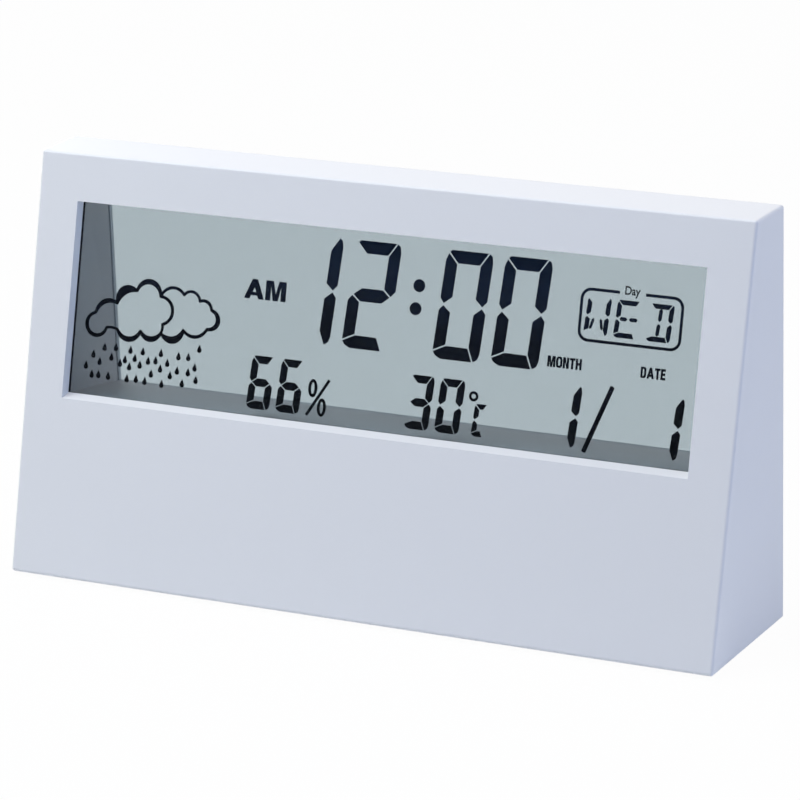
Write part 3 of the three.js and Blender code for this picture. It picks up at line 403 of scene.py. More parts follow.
metals = {   # stretch: how much finer the brushed grain is along each axis
    "nickelSteel": {"tones": ((0.50, 0.50, 0.51), (0.66, 0.66, 0.67)),
                    "roughness": 0.24, "stretch": (1, 1, 12)},
    "crystalCan": {"tones": ((0.56, 0.56, 0.57), (0.72, 0.72, 0.73)),
                   "roughness": 0.20, "stretch": (8, 1, 1)},
    "sounderBrass": {"tones": ((0.62, 0.42, 0.15), (0.78, 0.56, 0.24)),
                     "roughness": 0.24, "stretch": (1, 1, 1)},
}
brushed = {"grain": 0.5, "wear": 2.5, "depth": 0.004, "spread": 0.16}   # mm, and roughness


def metalFinish(name):
    values = metals[name]
    finish = Finish(name, Metallic=1.0)
    brush = finish.noise(brushed["grain"], detail=5, stretch=values["stretch"])
    wear = finish.noise(brushed["wear"], detail=3)
    finish.feed("Base Color", finish.mix(wear, *values["tones"]))
    finish.feed("Roughness", values["roughness"] + brushed["spread"] * brush)
    finish.bump(brush, brushed["depth"], strength=0.6)
    return finish.material


cellWrap = {
    "sleeve": (0.022, 0.026, 0.034), "band": (0.52, 0.30, 0.075), "bandShare": 0.3,
    "line": (0.62, 0.60, 0.55), "lineWidth": 0.5,      # mm
    "metal": (0.62, 0.62, 0.63), "metalRadius": 4.35,
    "plusEnd": 1.3, "minusEnd": 0.25,                  # mm of bare metal at each pole
    "mark": 1.25, "markLine": 0.26,                    # half sizes of the + and - marks, mm
    "plusFrom": 6.2, "minusFrom": 4.2,                 # mm from the end of each pole
    "scuff": 1.6, "scuffDepth": 0.01,                  # mm
    "scuffStretch": (1, 6, 6), "scuffTone": 1.5,
    "sleeveMetallic": 0.15, "bandMetallic": 0.6,       # the band's comes on top
    "roughness": 0.26, "spread": 0.14,
}


def cellFinish(name, node, towards):   # towards: which way along x the positive pole points
    values = cellWrap
    (low, high), (front, rear), (base, top) = (span(node, axis) for axis in range(3))
    length = high - low
    finish = Finish(name, Coat_Weight=0.5, Coat_Roughness=0.12)
    x = finish.axis("X")
    along = x - low if towards > 0 else high - x
    y, z = finish.axis("Y") - (front + rear) / 2, finish.axis("Z") - (base + top) / 2
    band = along > length * (1 - values["bandShare"])
    line = band * (along < length * (1 - values["bandShare"]) + values["lineWidth"])
    ends = (along > length - values["plusEnd"]) + (along < values["minusEnd"])
    metal = ends * (y * y + z * z < values["metalRadius"] ** 2)

    def bar(middle, halfAlong, halfAcross):
        off = along - middle
        return (off * off < halfAlong ** 2) * (z * z < halfAcross ** 2) * (y > 0)

    arm, thin = values["mark"], values["markLine"]
    plusAt, minusAt = length - values["plusFrom"], values["minusFrom"]
    plus = finish.larger(bar(plusAt, arm, thin), bar(plusAt, thin, arm))
    minus = bar(minusAt, thin, arm)
    scuff = finish.noise(values["scuff"], detail=5, stretch=values["scuffStretch"])
    sleeve = finish.mix(scuff, values["sleeve"], shade(values["sleeve"], values["scuffTone"]))
    look = finish.mix(band, sleeve, values["band"])
    look = finish.mix(finish.larger(line, minus), look, values["line"])
    look = finish.mix(plus, look, values["sleeve"])
    finish.feed("Base Color", finish.mix(metal, look, values["metal"]))
    metallic = values["sleeveMetallic"] + values["bandMetallic"] * band
    finish.feed("Metallic", finish.larger(metal, metallic))
    finish.feed("Roughness", values["roughness"] + values["spread"] * scuff)
    finish.bump(scuff, values["scuffDepth"], strength=0.5)
    return finish.material


finishes = {
    "white": whitePlastic("caseWhite"),
    # the light well's tray: the case's white plastic with a painted-shade tint
    "well": whitePlastic("wellWhite", plastic["wellShadeTint"]),
    "lens": clearFinish("clearLens", "lens"),
    "glass": clearFinish("cellGlass", "glass"),
    "film": filmFinish("polarisingFilm"),
    "foam": foamFinish("blackFoam"),
    "ink": inkFinish("displayInk"),
    "paleInk": speckledFinish("legendInk"),
    "printInk": speckledFinish("printInk"),
    "ribbon": ribbonFinish("ribbonFilm"),
    "board": boardFinish("solderMask"),
    "epoxy": speckledFinish("chipEpoxy"),
    "moulded": speckledFinish("switchBody"),
    "steel": metalFinish("nickelSteel"),
    "can": metalFinish("crystalCan"),
    "brass": metalFinish("sounderBrass"),
    "cage": speckledFinish("sensorCage"),
    "upperCell": cellFinish("upperCell", "battery_1", -1),
    "lowerCell": cellFinish("lowerCell", "battery_2", 1),
    "red": speckledFinish("wireRed"),
    "black": speckledFinish("wireBlack"),
    "rubber": speckledFinish("footRubber"),
}
nodeFinishes = {   # a name that ends in _ stands for all the nodes that begin so
    "front_housing": "white", "rear_cover": "white", "display_frame": "well",
    "battery_door": "white", "button_": "white",
    "front_lens": "lens", "rear_window": "lens",
    "lcd_front_glass": "glass", "lcd_rear_glass": "glass",
    "front_polariser": "film", "rear_polariser": "film",
    "display_gasket": "foam", "lcd_ribbon": "ribbon", "main_board": "board",
    "chip_blob": "epoxy", "temperature_sensor": "epoxy", "plunger_": "epoxy",
    "capacitor": "moulded", "switch_": "moulded", "crystal": "can",
    "humidity_sensor": "cage", "buzzer": "brass",
    "battery_1": "upperCell", "battery_2": "lowerCell",
    "contact_": "steel", "cover_screw_": "steel", "board_screw_": "steel",
    "battery_wire_1": "red", "battery_wire_2": "black",
    "buzzer_wire_1": "red", "buzzer_wire_2": "black",
    "foot_": "rubber",
}
for name, piece in nodes.items():
    family = next((key for key in nodeFinishes if key[-1] == "_" and name.startswith(key)), name)
    for slot in piece.material_slots:
        slot.material = finishes[nodeFinishes[family]]
print("finishes made and given to the nodes")

# The picture lies on the front of the display's rear glass. It is drawn flat,
# in mm: x from the middle, y up from the glass's lower edge, z towards the viewer.


def largestFace(mesh, towards):   # of those that look that way
    return max(mesh.polygons, key=lambda item: item.area * (item.normal @ towards > facing))


def facePlane(name, towards):   # the plane of a node's largest face that looks that way
    mesh = nodes[name].data
    face = largestFace(mesh, towards)
    across = Vector((1, 0, 0))
    upward = face.normal.cross(across).normalized()
    spots = [corner.co for corner in mesh.vertices
             if abs((corner.co - face.center) @ face.normal) < flatness]
    low = min(spots, key=lambda spot: spot @ upward)
    foot = Vector((0, low.y, low.z))
    turn = Matrix((across, upward, face.normal)).transposed().to_4x4()
    return Matrix.Translation(foot) @ turn


displayPlane = facePlane("lcd_rear_glass", -rearward)
display = {
    "lift": 0.01,          # mm in front of the rear glass
    "ink": 0.05,           # thickness of the picture
    "slant": 0.068,        # how far the figures lean, per mm of height
    "time": {"at": (-20.09, -8.42, 9.78, 21.33), "base": 14.48,
             "width": 9.5, "height": 19.94, "stroke": 2.58, "gap": 0.27},
    "colon": {"dots": ((6.30, 27.26), (5.95, 23.05)), "radius": 1.17},
    "humidity": {"at": (-26.75, -20.68), "base": 1.32,
                 "width": 5.0, "height": 10.0, "stroke": 1.6, "gap": 0.17},
    "temperature": {"at": (5.48, 11.54), "base": 1.32,
                    "width": 5.0, "height": 10.0, "stroke": 1.6, "gap": 0.17},
    "unit": {"at": 18.82, "base": 1.42, "width": 2.95, "height": 6.05, "stroke": 1.15,
             "gap": 0.17, "ring": (18.87, 8.64), "ringRadius": 0.93, "ringLine": 0.50},
    "percent": {"high": (-13.22, 6.52), "low": (-11.16, 3.18), "half": (0.93, 1.68),
                "line": 0.60, "slash": ((-14.15, 1.50), (-9.98, 8.32)), "slashWidth": 0.56},
    "date": {"at": (33.74, 53.21), "base": 1.52,
             "width": 5.4, "height": 11.3, "stroke": 1.8, "gap": 0.25,
             "slash": ((40.83, 1.15), (45.37, 13.36)), "slashWidth": 0.88, "slashPoint": 0.12},
    "weekday": {"at": (38.70, 44.38, 50.60), "base": 21.92,
                "width": 4.68, "height": 6.86, "stroke": 1.05, "gap": 0.17,
                "figures": ("febc", "afed", "abcd"),
                "bars": (   # letter, the ends as shares of its size, the width in mm
                    (0, (0.255, 0.15), (0.360, 0.45), 0.50),
                    (0, (0.750, 0.15), (0.640, 0.45), 0.50),
                    (1, (0.18, 0.5), (0.50, 0.5), 0.68), (1, (0.56, 0.5), (0.92, 0.5), 0.68),
                    (2, (0.435, 0.15), (0.455, 0.48), 0.68),
                    (2, (0.455, 0.53), (0.465, 0.87), 0.68)),
                "barPoint": 0.3},   # share of the stroke
    "frame": {"left": 37.74, "right": 57.38, "low": 20.68, "high": 30.26,
              "corner": 2.0, "cornerSteps": 8, "line": 0.54, "gap": (45.10, 50.04)},
}
figures = {"0": "abcdef", "1": "bc", "2": "abged", "3": "abgcd", "6": "afgedc", "c": "afed"}


def leaned(outline, base):
    return [(x + display["slant"] * (y - base), y) for x, y in outline]


def inset(outline, gap):   # a convex outline, counter-clockwise, drawn in on every side
    lines = []
    for (x0, y0), (x1, y1) in zip(outline, outline[1:] + outline[:1]):
        length = math.hypot(x1 - x0, y1 - y0)
        along = ((x1 - x0) / length, (y1 - y0) / length)
        lines.append(((x0 - along[1] * gap, y0 + along[0] * gap), along))
    corners = []
    for (first, a), (second, b) in zip(lines[-1:] + lines[:-1], lines):
        reach = ((second[0] - first[0]) * b[1] - (second[1] - first[1]) * b[0]) / (
            a[0] * b[1] - a[1] * b[0])
        corners.append((first[0] + a[0] * reach, first[1] + a[1] * reach))
    return corners


def segmentShapes(width, height, stroke):
    w, h, t, mid = width, height, stroke, height / 2
    left, right = 0.34 * t, w - 0.38 * t
    inner, outer = t, w - t
    half = 0.52 * t
    return {
        "a": [(0.2 * t, h - 0.2 * t), (inner, h - t), (outer, h - t), (w - 0.38 * t, h),
              (0.42 * t, h)],
        "b": [(outer, h - t), (outer, mid + half), (right, mid), (w, mid + 0.42 * t),
              (w, h - 0.7 * t), (w - 0.12 * t, h - 0.22 * t), (w - 0.38 * t, h)],
        "c": [(right, mid), (outer, mid - half), (outer, 1.02 * t), (w - 0.5 * t, 0),
              (w - 0.12 * t, 0.24 * t), (w, 0.68 * t), (w, mid - 0.42 * t)],
        "d": [(0, 0.56 * t), (0.22 * t, 0.24 * t), (0.7 * t, 0), (w - 0.5 * t, 0),
              (outer, 1.02 * t), (inner, 1.04 * t)],
        "e": [(0, 0.56 * t), (inner, 1.04 * t), (inner, mid - half), (left, mid),
              (0, mid - 0.42 * t)],
        "f": [(left, mid), (inner, mid + half), (inner, h - t), (0.2 * t, h - 0.2 * t),
              (0, h - 0.75 * t), (0, mid + 0.42 * t)],
        "g": [(left, mid), (inner, mid - half), (outer, mid - half), (right, mid),
              (outer, mid + half), (inner, mid + half)],
    }


class Drawing:   # flat shapes gathered into one thin mesh
    def __init__(self):
        self.corners = []
        self.faces = []

    def ring(self, outline, z):
        first = len(self.corners)
        self.corners += [(x, y, z) for x, y in outline]
        return list(range(first, first + len(outline)))

    def walls(self, back, front):
        for i in range(len(back)):
            j = (i + 1) % len(back)
            self.faces.append((back[i], back[j], front[j], front[i]))

    def shape(self, outline):   # counter-clockwise
        back, front = (self.ring(outline, z) for z in (0, display["ink"]))
        self.faces += [tuple(front), tuple(reversed(back))]
        self.walls(back, front)

    def band(self, outside, inside):   # both run counter-clockwise, step by step
        rings = [[self.ring(edge, z) for z in (0, display["ink"])] for edge in (outside, inside)]
        (outBack, outFront), (inBack, inFront) = rings
        for i in range(len(outside)):
            j = (i + 1) % len(outside)
            self.faces.append((outFront[i], outFront[j], inFront[j], inFront[i]))
            self.faces.append((outBack[j], outBack[i], inBack[i], inBack[j]))
        self.walls(outBack, outFront)
        self.walls(inBack[::-1], inFront[::-1])

    def oval(self, centre, half, line=0.0, steps=40):
        turns = [2 * math.pi * i / steps for i in range(steps)]
        edges = [[(centre[0] + (half[0] - cut) * math.cos(turn),
                   centre[1] + (half[1] - cut) * math.sin(turn)) for turn in turns]
                 for cut in (0, line)]
        if line:
            self.band(*edges)
        else:
            self.shape(edges[0])

    def stroke(self, start, end, width, point=0.0):   # a bar, with pointed ends if asked
        first, last = Vector(start), Vector(end)
        along = (last - first).normalized()
        side = Vector((-along.y, along.x)) * width / 2
        tip = along * point
        outline = [first + tip - side, last - tip - side]
        if point:
            outline.append(last)
        outline += [last - tip + side, first + tip + side]
        if point:
            outline.append(first)
        self.shape([tuple(corner) for corner in outline])

    def figure(self, segments, x, values):
        shapes = segmentShapes(values["width"], values["height"], values["stroke"])
        base, gap = values["base"], values["gap"]
        for segment in segments:
            outline = [(x + u, base + v) for u, v in inset(shapes[segment], gap / 2)]
            self.shape(leaned(outline, base))

    def row(self, text, values):
        for sign, x in zip(text, values["at"]):
            self.figure(figures[sign], x, values)

    def mesh(self, name):
        mesh = bpy.data.meshes.new(name)
        mesh.from_pydata(self.corners, [], self.faces)
        return mesh


def putIn(mesh, name, finish, body, replaced=()):   # a piece whose mesh is in its place
    mesh.materials.clear()
    mesh.materials.append(finish)
    piece = bpy.data.objects.new(name, mesh)
    scene.collection.objects.link(piece)
    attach(piece, body)
    if replaced:
        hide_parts(*replaced)


def placeOnDisplay(mesh, name, finish):
    lifted = displayPlane @ Matrix.Translation((0, 0, display["lift"] * mm)) @ Matrix.Scale(mm, 4)
    mesh.transform(lifted)
    putIn(mesh, name, finish, "case")


def drawFigures():
    art = Drawing()
    art.row("1200", display["time"])
    art.row("66", display["humidity"])
    art.row("30", display["temperature"])
    art.row("11", display["date"])
    for dot in display["colon"]["dots"]:
        art.oval(dot, (display["colon"]["radius"],) * 2)
    unit = display["unit"]
    art.figure(figures["c"], unit["at"], unit)
    art.oval(unit["ring"], (unit["ringRadius"],) * 2, unit["ringLine"], steps=28)
    percent = display["percent"]
    for centre in (percent["high"], percent["low"]):
        art.oval(centre, percent["half"], percent["line"], steps=32)
    art.stroke(*percent["slash"], percent["slashWidth"])
    date = display["date"]
    art.stroke(*date["slash"], date["slashWidth"], date["slashPoint"])
    return art.mesh("displayFigures")


def drawWeekday():
    art = Drawing()
    values = display["weekday"]
    w, h, base = (values[key] for key in ("width", "height", "base"))
    for segments, x in zip(values["figures"], values["at"]):
        art.figure(segments, x, values)
    for letter, *ends, wide in values["bars"]:
        spots = [(values["at"][letter] + u * w, base + v * h) for u, v in ends]
        art.stroke(*leaned(spots, base), wide, values["barPoint"] * values["stroke"])
    return art.mesh("displayWeekday")


def drawFrame():   # the rounded frame round the weekday, open for its small heading
    values = display["frame"]
    steps = values["cornerSteps"]
    edges = []
    for cut in (0, values["line"]):
        left, right = values["left"] + cut, values["right"] - cut
        low, high, r = values["low"] + cut, values["high"] - cut, values["corner"] - cut
        edge = [(values["gap"][0], high)]
        for x, y, start in ((left + r, high - r, 90), (left + r, low + r, 180),
                            (right - r, low + r, 270), (right - r, high - r, 0)):
            for i in range(steps + 1):
                turn = math.radians(start + 90 * i / steps)
                edge.append((x + r * math.cos(turn), y + r * math.sin(turn)))
        edge.append((values["gap"][1], high))
        edges.append(edge)
    art = Drawing()
    art.shape(edges[0] + edges[1][::-1])
    return art.mesh("displayFrame")


clouds = {   # where the lobes of each outline meet, how far each bulges, its line's width
    "front": (((-59.64, 15.62), 1.15, 0.95), ((-55.21, 17.80), 1.20, 1.72),
              ((-51.23, 20.48), 2.15, 1.05), ((-46.17, 19.92), 2.25, 0.66),
              ((-45.34, 14.85), 0.10, 0.52), ((-45.56, 13.17), 1.20, 1.10),
              ((-49.87, 13.12), 1.58, 1.06), ((-54.76, 12.93), -0.22, 0.52),
              ((-57.11, 13.06), 3.25, 0.80)),
    "rear": (((-46.05, 20.15), 1.32, 0.60), ((-41.29, 20.75), 1.10, 0.56),
             ((-37.88, 19.89), 0.72, 0.64), ((-35.33, 18.45), 1.74, 0.96),
             ((-35.96, 14.92), 1.28, 0.68), ((-40.89, 14.21), 1.34, 1.42),
             ((-45.40, 13.05), 0, 0)),
    "line": 0.56,          # the outlines' width where lobes meet
    "outward": 0.1,        # how much more of it lies outside at a lobe's crown
    "steps": 14,
}


def lobe(start, end, bulge, width):   # a crescent that bulges to the left of its way
    line, steps = clouds["line"], clouds["steps"]
    start, end = Vector(start), Vector(end)
    chord = end - start
    half = chord.length / 2
    radius = (half * half + bulge * bulge) / (2 * bulge)
    centre = (start + end) / 2 - Vector((-chord.y, chord.x)).normalized() * (radius - bulge)
    sweep = 4 * math.atan(bulge / half)
    outside, inside = [], []
    for i in range(steps + 1):
        out = (Matrix.Rotation(-sweep * i / steps, 2) @ (start - centre)) / radius
        crown = math.sin(math.pi * i / steps)
        wide = line + (width - line) * crown
        share = 0.5 + clouds["outward"] * crown
        outside.append(tuple(centre + out * (radius + share * wide)))
        inside.append(tuple(centre + out * (radius - (1 - share) * wide)))
    return inside + outside[::-1]


def drawClouds():
    art = Drawing()
    front, rear = clouds["front"], clouds["rear"]
    for spots in (front + front[:1], rear):
        for (start, bulge, width), (end, *_) in zip(spots, spots[1:]):
            art.shape(lobe(start, end, bulge, width))
            art.oval(end, (clouds["line"] / 2,) * 2, steps=16)
    return art.mesh("displayClouds")


for name, draw in (("lcd_figures", drawFigures), ("lcd_weekday", drawWeekday),
                   ("lcd_day_frame", drawFrame), ("lcd_clouds", drawClouds)):
    placeOnDisplay(draw(), name, finishes["ink"])
print("display figures drawn")

legends = {   # left, right and foot of each word and the height of its capitals, in mm
    "AM": {"left": -28.85, "right": -20.30, "foot": 21.50, "capital": 3.64,
           "stem": 0.265, "bar": 0.18, "space": 0.06, "finish": "ink"},
    "MONTH": {"left": 32.50, "right": 39.10, "foot": 15.52, "capital": 1.98,
              "stem": 0.285, "bar": 0.22, "space": 0.08, "finish": "ink"},
    "DATE": {"left": 50.35, "right": 55.05, "foot": 15.48, "capital": 1.98,
             "stem": 0.285, "bar": 0.22, "space": 0.08, "finish": "ink"},
    "Day": {"left": 46.08, "right": 48.95, "foot": 29.72, "capital": 1.50,
            "weight": 0.018, "finish": "paleInk"},
}
letterWidths = {"A": 1.04, "M": 1.06, "O": 0.84, "N": 0.78, "T": 0.74, "H": 0.78, "D": 0.78,
                "E": 0.66}   # shares of the capitals' height


roundLetter = {
    "steps": 32,
    "square": 0.62,        # 1 is an oval, and less is squarer
    "thin": 0.85,          # how thick its top and foot are, as a share of a bar
}


def roundEnd(w, side, end, left):   # the outline of an O, or of a D, whose left side is straight
    spots = []
    for i in range(roundLetter["steps"]):
        turn = 2 * math.pi * i / roundLetter["steps"]
        x, y = (math.copysign(abs(part) ** roundLetter["square"], part)
                for part in (math.cos(turn), math.sin(turn)))
        if left and x < 0:
            x = -1
        spots.append((w / 2 + (w / 2 - side) * x, 0.5 + (0.5 - end) * y))
    return spots


def letterOutlines(letter, w, stem, bar):   # capitals one unit tall, foot and left at zero
    low, high = 0.5 - bar / 2, 0.5 + bar / 2
    lean = (w - stem) / 2
    foot = 1.1 * stem

    def leg(y):   # the inner edge of the left leg of an A
        return (foot + lean * y, y)

    def mirrored(spots):
        return [(w - x, y) for x, y in reversed(spots)]

    rise, crossing = (w / 2 - foot) / lean, (0.17, 0.17 + bar)
    thin = roundLetter["thin"] * bar
    sideOfA = [(0, 0), (foot, 0), leg(crossing[0])]
    sideOfM = [(0, 0), (stem, 0), (stem, 0.74), (w / 2 - 0.5 * stem, 0)]
    shapes = {
        "A": [sideOfA + mirrored(sideOfA) + [((w + stem) / 2, 1), ((w - stem) / 2, 1)],
              [leg(crossing[1])] + mirrored([leg(crossing[1])]) + [(w / 2, rise)]],
        "M": [sideOfM + mirrored(sideOfM)
              + [(w, 1), (w - 1.45 * stem, 1), (w / 2, 0.34), (1.45 * stem, 1), (0, 1)]],
        "N": [[(0, 0), (stem, 0), (stem, 0.64), (w - 1.08 * stem, 0), (w, 0), (w, 1),
               (w - stem, 1), (w - stem, 0.36), (1.08 * stem, 1), (0, 1)]],
        "T": [[((w - stem) / 2, 0), ((w + stem) / 2, 0), ((w + stem) / 2, 1 - bar), (w, 1 - bar),
               (w, 1), (0, 1), (0, 1 - bar), ((w - stem) / 2, 1 - bar)]],
        "H": [[(0, 0), (stem, 0), (stem, low), (w - stem, low), (w - stem, 0), (w, 0), (w, 1),
               (w - stem, 1), (w - stem, high), (stem, high), (stem, 1), (0, 1)]],
        "E": [[(0, 0), (w, 0), (w, bar), (stem, bar), (stem, low), (0.93 * w, low),
               (0.93 * w, high), (stem, high), (stem, 1 - bar), (w, 1 - bar), (w, 1), (0, 1)]],
        "O": [roundEnd(w, 0, 0, False), roundEnd(w, stem, thin, False)],
        "D": [roundEnd(w, 0, 0, True), roundEnd(w, stem, thin, True)],
    }
    return shapes[letter]


def filledMesh(name, curve):   # a flat curve as a solid one unit thick
    curve.extrude = 0.5
    writing = bpy.data.objects.new(name, curve)
    scene.collection.objects.link(writing)
    bpy.context.view_layer.update()
    mesh = bpy.data.meshes.new_from_object(writing)
    bpy.data.objects.remove(writing)
    return mesh


def boldWord(word, values):
    curve = bpy.data.curves.new(word, "CURVE")
    curve.dimensions = "2D"
    curve.fill_mode = "BOTH"
    x = 0
    for letter in word:
        width = letterWidths[letter]
        for outline in letterOutlines(letter, width, values["stem"], values["bar"]):
            spline = curve.splines.new("POLY")
            spline.points.add(len(outline) - 1)
            for point, (u, v) in zip(spline.points, outline):
                point.co = (x + u, v, 0, 1)
            spline.use_cyclic_u = True
        x += width + values["space"]
    return filledMesh(word, curve)


def thinWord(word, values):
    font = bpy.data.curves.new(word, "FONT")
    font.body = word
    font.offset = values["weight"]
    font.resolution_u = 6
    return filledMesh(word, font)


def extent(mesh, axis):
    spots = [corner.co[axis] for corner in mesh.vertices]
    return min(spots), max(spots)


def setWords():
    for word, values in legends.items():
        mesh = (thinWord if "weight" in values else boldWord)(word, values)
        left, right = extent(mesh, 0)
        wide = (values["right"] - values["left"]) / (right - left)
        tall = values["capital"] / extent(mesh, 1)[1]
        for corner in mesh.vertices:
            corner.co = (values["left"] + (corner.co.x - left) * wide,
                         values["foot"] + corner.co.y * tall,
                         display["ink"] * (corner.co.z + 0.5))
        placeOnDisplay(mesh, "lcd_word_" + word.lower(), finishes[values["finish"]])


setWords()
print("plain words set")


class Tree(Nodes):   # a Geometry Nodes tree with named inputs, run once on an object
    def __init__(self, name, inputs):
        super().__init__(bpy.data.node_groups.new(name, "GeometryNodeTree"))
        face = self.tree.interface
        self.ids = {}
        for label, kind in {"Geometry": "NodeSocketGeometry", **inputs}.items():
            socket = face.new_socket(label, in_out="INPUT", socket_type=kind)
            self.ids[label] = socket.identifier
        face.new_socket("Geometry", in_out="OUTPUT", socket_type="NodeSocketGeometry")
        self.start = self.tree.nodes.new("NodeGroupInput")
        self.end = self.tree.nodes.new("NodeGroupOutput")

    def given(self, label):
        return Value(self, self.start.outputs[label])

    def realized(self, instances, material):   # plain geometry with its material
        solid = self.add("GeometryNodeRealizeInstances", {}, {"Geometry": instances})
        return self.add("GeometryNodeSetMaterial", {}, {"Geometry": solid, "Material": material})

    def run(self, result, mesh, values):   # the plain mesh that the tree makes from a mesh
        self.give(self.end.inputs[0], result)
        carrier = bpy.data.objects.new("carrier", mesh)
        scene.collection.objects.link(carrier)
        modifier = carrier.modifiers.new("tree", "NODES")
        modifier.node_group = self.tree
        for label, value in values.items():
            modifier[self.ids[label]] = value
        made = evaluated(carrier)
        carrier.modifiers.clear()
        bpy.data.objects.remove(carrier)
        return made


def evaluated(piece):   # a plain mesh of what an object's modifiers make
    bpy.context.view_layer.update()
    seen = piece.evaluated_get(bpy.context.evaluated_depsgraph_get())
    return bpy.data.meshes.new_from_object(seen)


rain = {
    "rows": (   # the height of each row and where its drops fall, in mm
        (11.0, (-37.2,)),
        (9.2, (-57.1, -54.8, -51.6, -49.0, -45.1, -41.4, -39.3)),
        (7.5, (-59.4, -55.5, -52.7, -50.6, -47.7, -46.2, -43.6, -37.8)),
        (6.3, (-58.0, -53.7, -51.6, -49.4, -45.1, -41.5, -39.2)),
        (5.3, (-60.8, -46.9, -42.9, -37.4)),
        (3.8, (-59.4, -58.0, -56.0, -51.9, -50.0, -48.1, -44.6, -40.3))),
    "jitter": (0.08, 0.30, 0.0),    # mm each way
    "size": 1.0,           # how many times the drop's own size
    "dropWidth": 0.94, "dropHeight": 1.58,
    "roundFrom": 150, "roundSweep": 240, "roundSteps": 12,   # the drop's round foot, degrees
    "seed": 3,
}


def dropMesh():
    half, tall, steps = rain["dropWidth"] / 2, rain["dropHeight"], rain["roundSteps"]
    outline = [(0, tall - half)]
    for i in range(steps + 1):
        turn = math.radians(rain["roundFrom"] + rain["roundSweep"] * i / steps)
        outline.append((half * math.cos(turn), half * math.sin(turn)))
    art = Drawing()
    art.shape(outline)
    return art.mesh("drop")


def makeRain():
    tree = Tree("rainDrops", {
        "Drop": "NodeSocketObject", "Size": "NodeSocketFloat", "Jitter": "NodeSocketVector",
        "Seed": "NodeSocketInt", "Ink": "NodeSocketMaterial"})
    jitter = tree.given("Jitter")
    low = tree.add("ShaderNodeVectorMath", {"operation": "MULTIPLY"}, {0: jitter, 1: (-1, -1, -1)})
    shift = tree.add("FunctionNodeRandomValue", {"data_type": "FLOAT_VECTOR"}, {
        0: low, 1: jitter, "Seed": tree.given("Seed")})
    moved = tree.add("GeometryNodeSetPosition", {}, {
        "Geometry": tree.given("Geometry"), "Offset": shift})
    drop = tree.add("GeometryNodeObjectInfo", {}, {"Object": tree.given("Drop")}, "Geometry")
    drops = tree.add("GeometryNodeInstanceOnPoints", {}, {
        "Points": moved, "Instance": drop, "Scale": tree.given("Size")})
    template = bpy.data.objects.new("drop", dropMesh())
    scene.collection.objects.link(template)
    spots = bpy.data.meshes.new("rainSpots")
    spots.from_pydata([(x, y, 0) for y, row in rain["rows"] for x in row], [], [])
    mesh = tree.run(tree.realized(drops, tree.given("Ink")), spots, {
        "Drop": template, "Size": rain["size"], "Jitter": rain["jitter"], "Seed": rain["seed"],
        "Ink": finishes["ink"]})
    bpy.data.objects.remove(template)
    placeOnDisplay(mesh, "lcd_rain", finishes["ink"])


makeRain()
print("rain drawn")

crease = math.radians(38)   # edges of turned pieces that bend more than this stay crisp


def filleted(path, steps=6):   # (radius, height, fillet) corners; returns the rounded outline
    outline = []
    for i, (radius, height, fillet) in enumerate(path):
        here = Vector((radius, height))
        if not fillet:
            outline.append(here)
            continue
        first, last = (here + (Vector(path[j][:2]) - here).normalized() * fillet
                       for j in (i - 1, i + 1))
        for step in range(steps + 1):
            share = step / steps
            outline.append((1 - share) ** 2 * first + 2 * share * (1 - share) * here
                           + share ** 2 * last)
    return outline


def turnedMesh(name, path, sides):   # a closed body turned about Z from a path that climbs
    corners, rings = [], []
    for radius, height in filleted(path):
        count = sides if radius > 1e-6 else 1
        rings.append(range(len(corners), len(corners) + count))
        corners += [(radius * math.cos(2 * math.pi * i / sides),
                     radius * math.sin(2 * math.pi * i / sides), height) for i in range(count)]
    faces = []
    for low, high in zip(rings, rings[1:]):
        for i in range(sides):
            j = (i + 1) % sides
            face = [low[i % len(low)], low[j % len(low)], high[j % len(high)], high[i % len(high)]]
            faces.append(list(dict.fromkeys(face)))
    mesh = bpy.data.meshes.new(name)
    mesh.from_pydata(corners, [], faces)
    mesh.shade_smooth()
    mesh.set_sharp_from_angle(angle=crease)
    return mesh


def outerFace(name, towards):   # the middle and the normal of a round node's outermost face
    mesh = nodes[name].data
    face = largestFace(mesh, towards)
    reach = max(corner.co @ face.normal for corner in mesh.vertices)
    rim = [corner.co for corner in mesh.vertices if reach - corner.co @ face.normal < flatness]
    middle = Vector([(min(spot[i] for spot in rim) + max(spot[i] for spot in rim)) / 2
                     for i in range(3)])
    return middle, face.normal.copy()


def standing(middle, normal):   # from a piece turned in mm about Z to its place
    turn = normal.to_track_quat("Z", "Y").to_matrix().to_4x4()
    return Matrix.Translation(middle) @ turn @ Matrix.Scale(mm, 4)


def nodesNamed(stem):
    return sorted(name for name in nodes if name.startswith(stem))


button = {   # mm, heights from the top of the cap
    "cap": 2.6, "capEdge": 0.42, "dish": 0.22, "dishRadius": 1.95, "dishSteps": 8,
    "flange": 3.1, "flangeTop": -3.0, "flangeFoot": -4.0, "flangeEdge": 0.15,
    "stem": 1.5, "stemFoot": -6.3, "corner": 0.1,
    "sunk": 0.006,         # keeps the cap within the outline of its node
    "sides": 72,
}


def buttonPath():
    cap, dish, stem, flange = (button[key] for key in ("cap", "dish", "stem", "flange"))
    top, under, foot = (button[key] for key in ("flangeTop", "flangeFoot", "stemFoot"))
    edge, corner = button["flangeEdge"], button["corner"]
    path = [(0, foot, 0), (stem, foot, edge), (stem, under, corner), (flange, under, edge),
            (flange, top, edge), (cap, top, corner), (cap, 0, button["capEdge"])]
    for i in range(button["dishSteps"] + 1):
        share = 1 - i / button["dishSteps"]
        path.append((button["dishRadius"] * share, -dish * (1 - share ** 2), 0))
    return path


def makeButtons():
    for name in nodesNamed("button_"):
        mesh = turnedMesh(name + "_cap", buttonPath(), button["sides"])
        middle, normal = outerFace(name, rearward)
        mesh.transform(standing(middle - button["sunk"] * mm * normal, normal))
        putIn(mesh, name + "_cap", finishes["white"], name, [name])


makeButtons()
print("buttons turned")

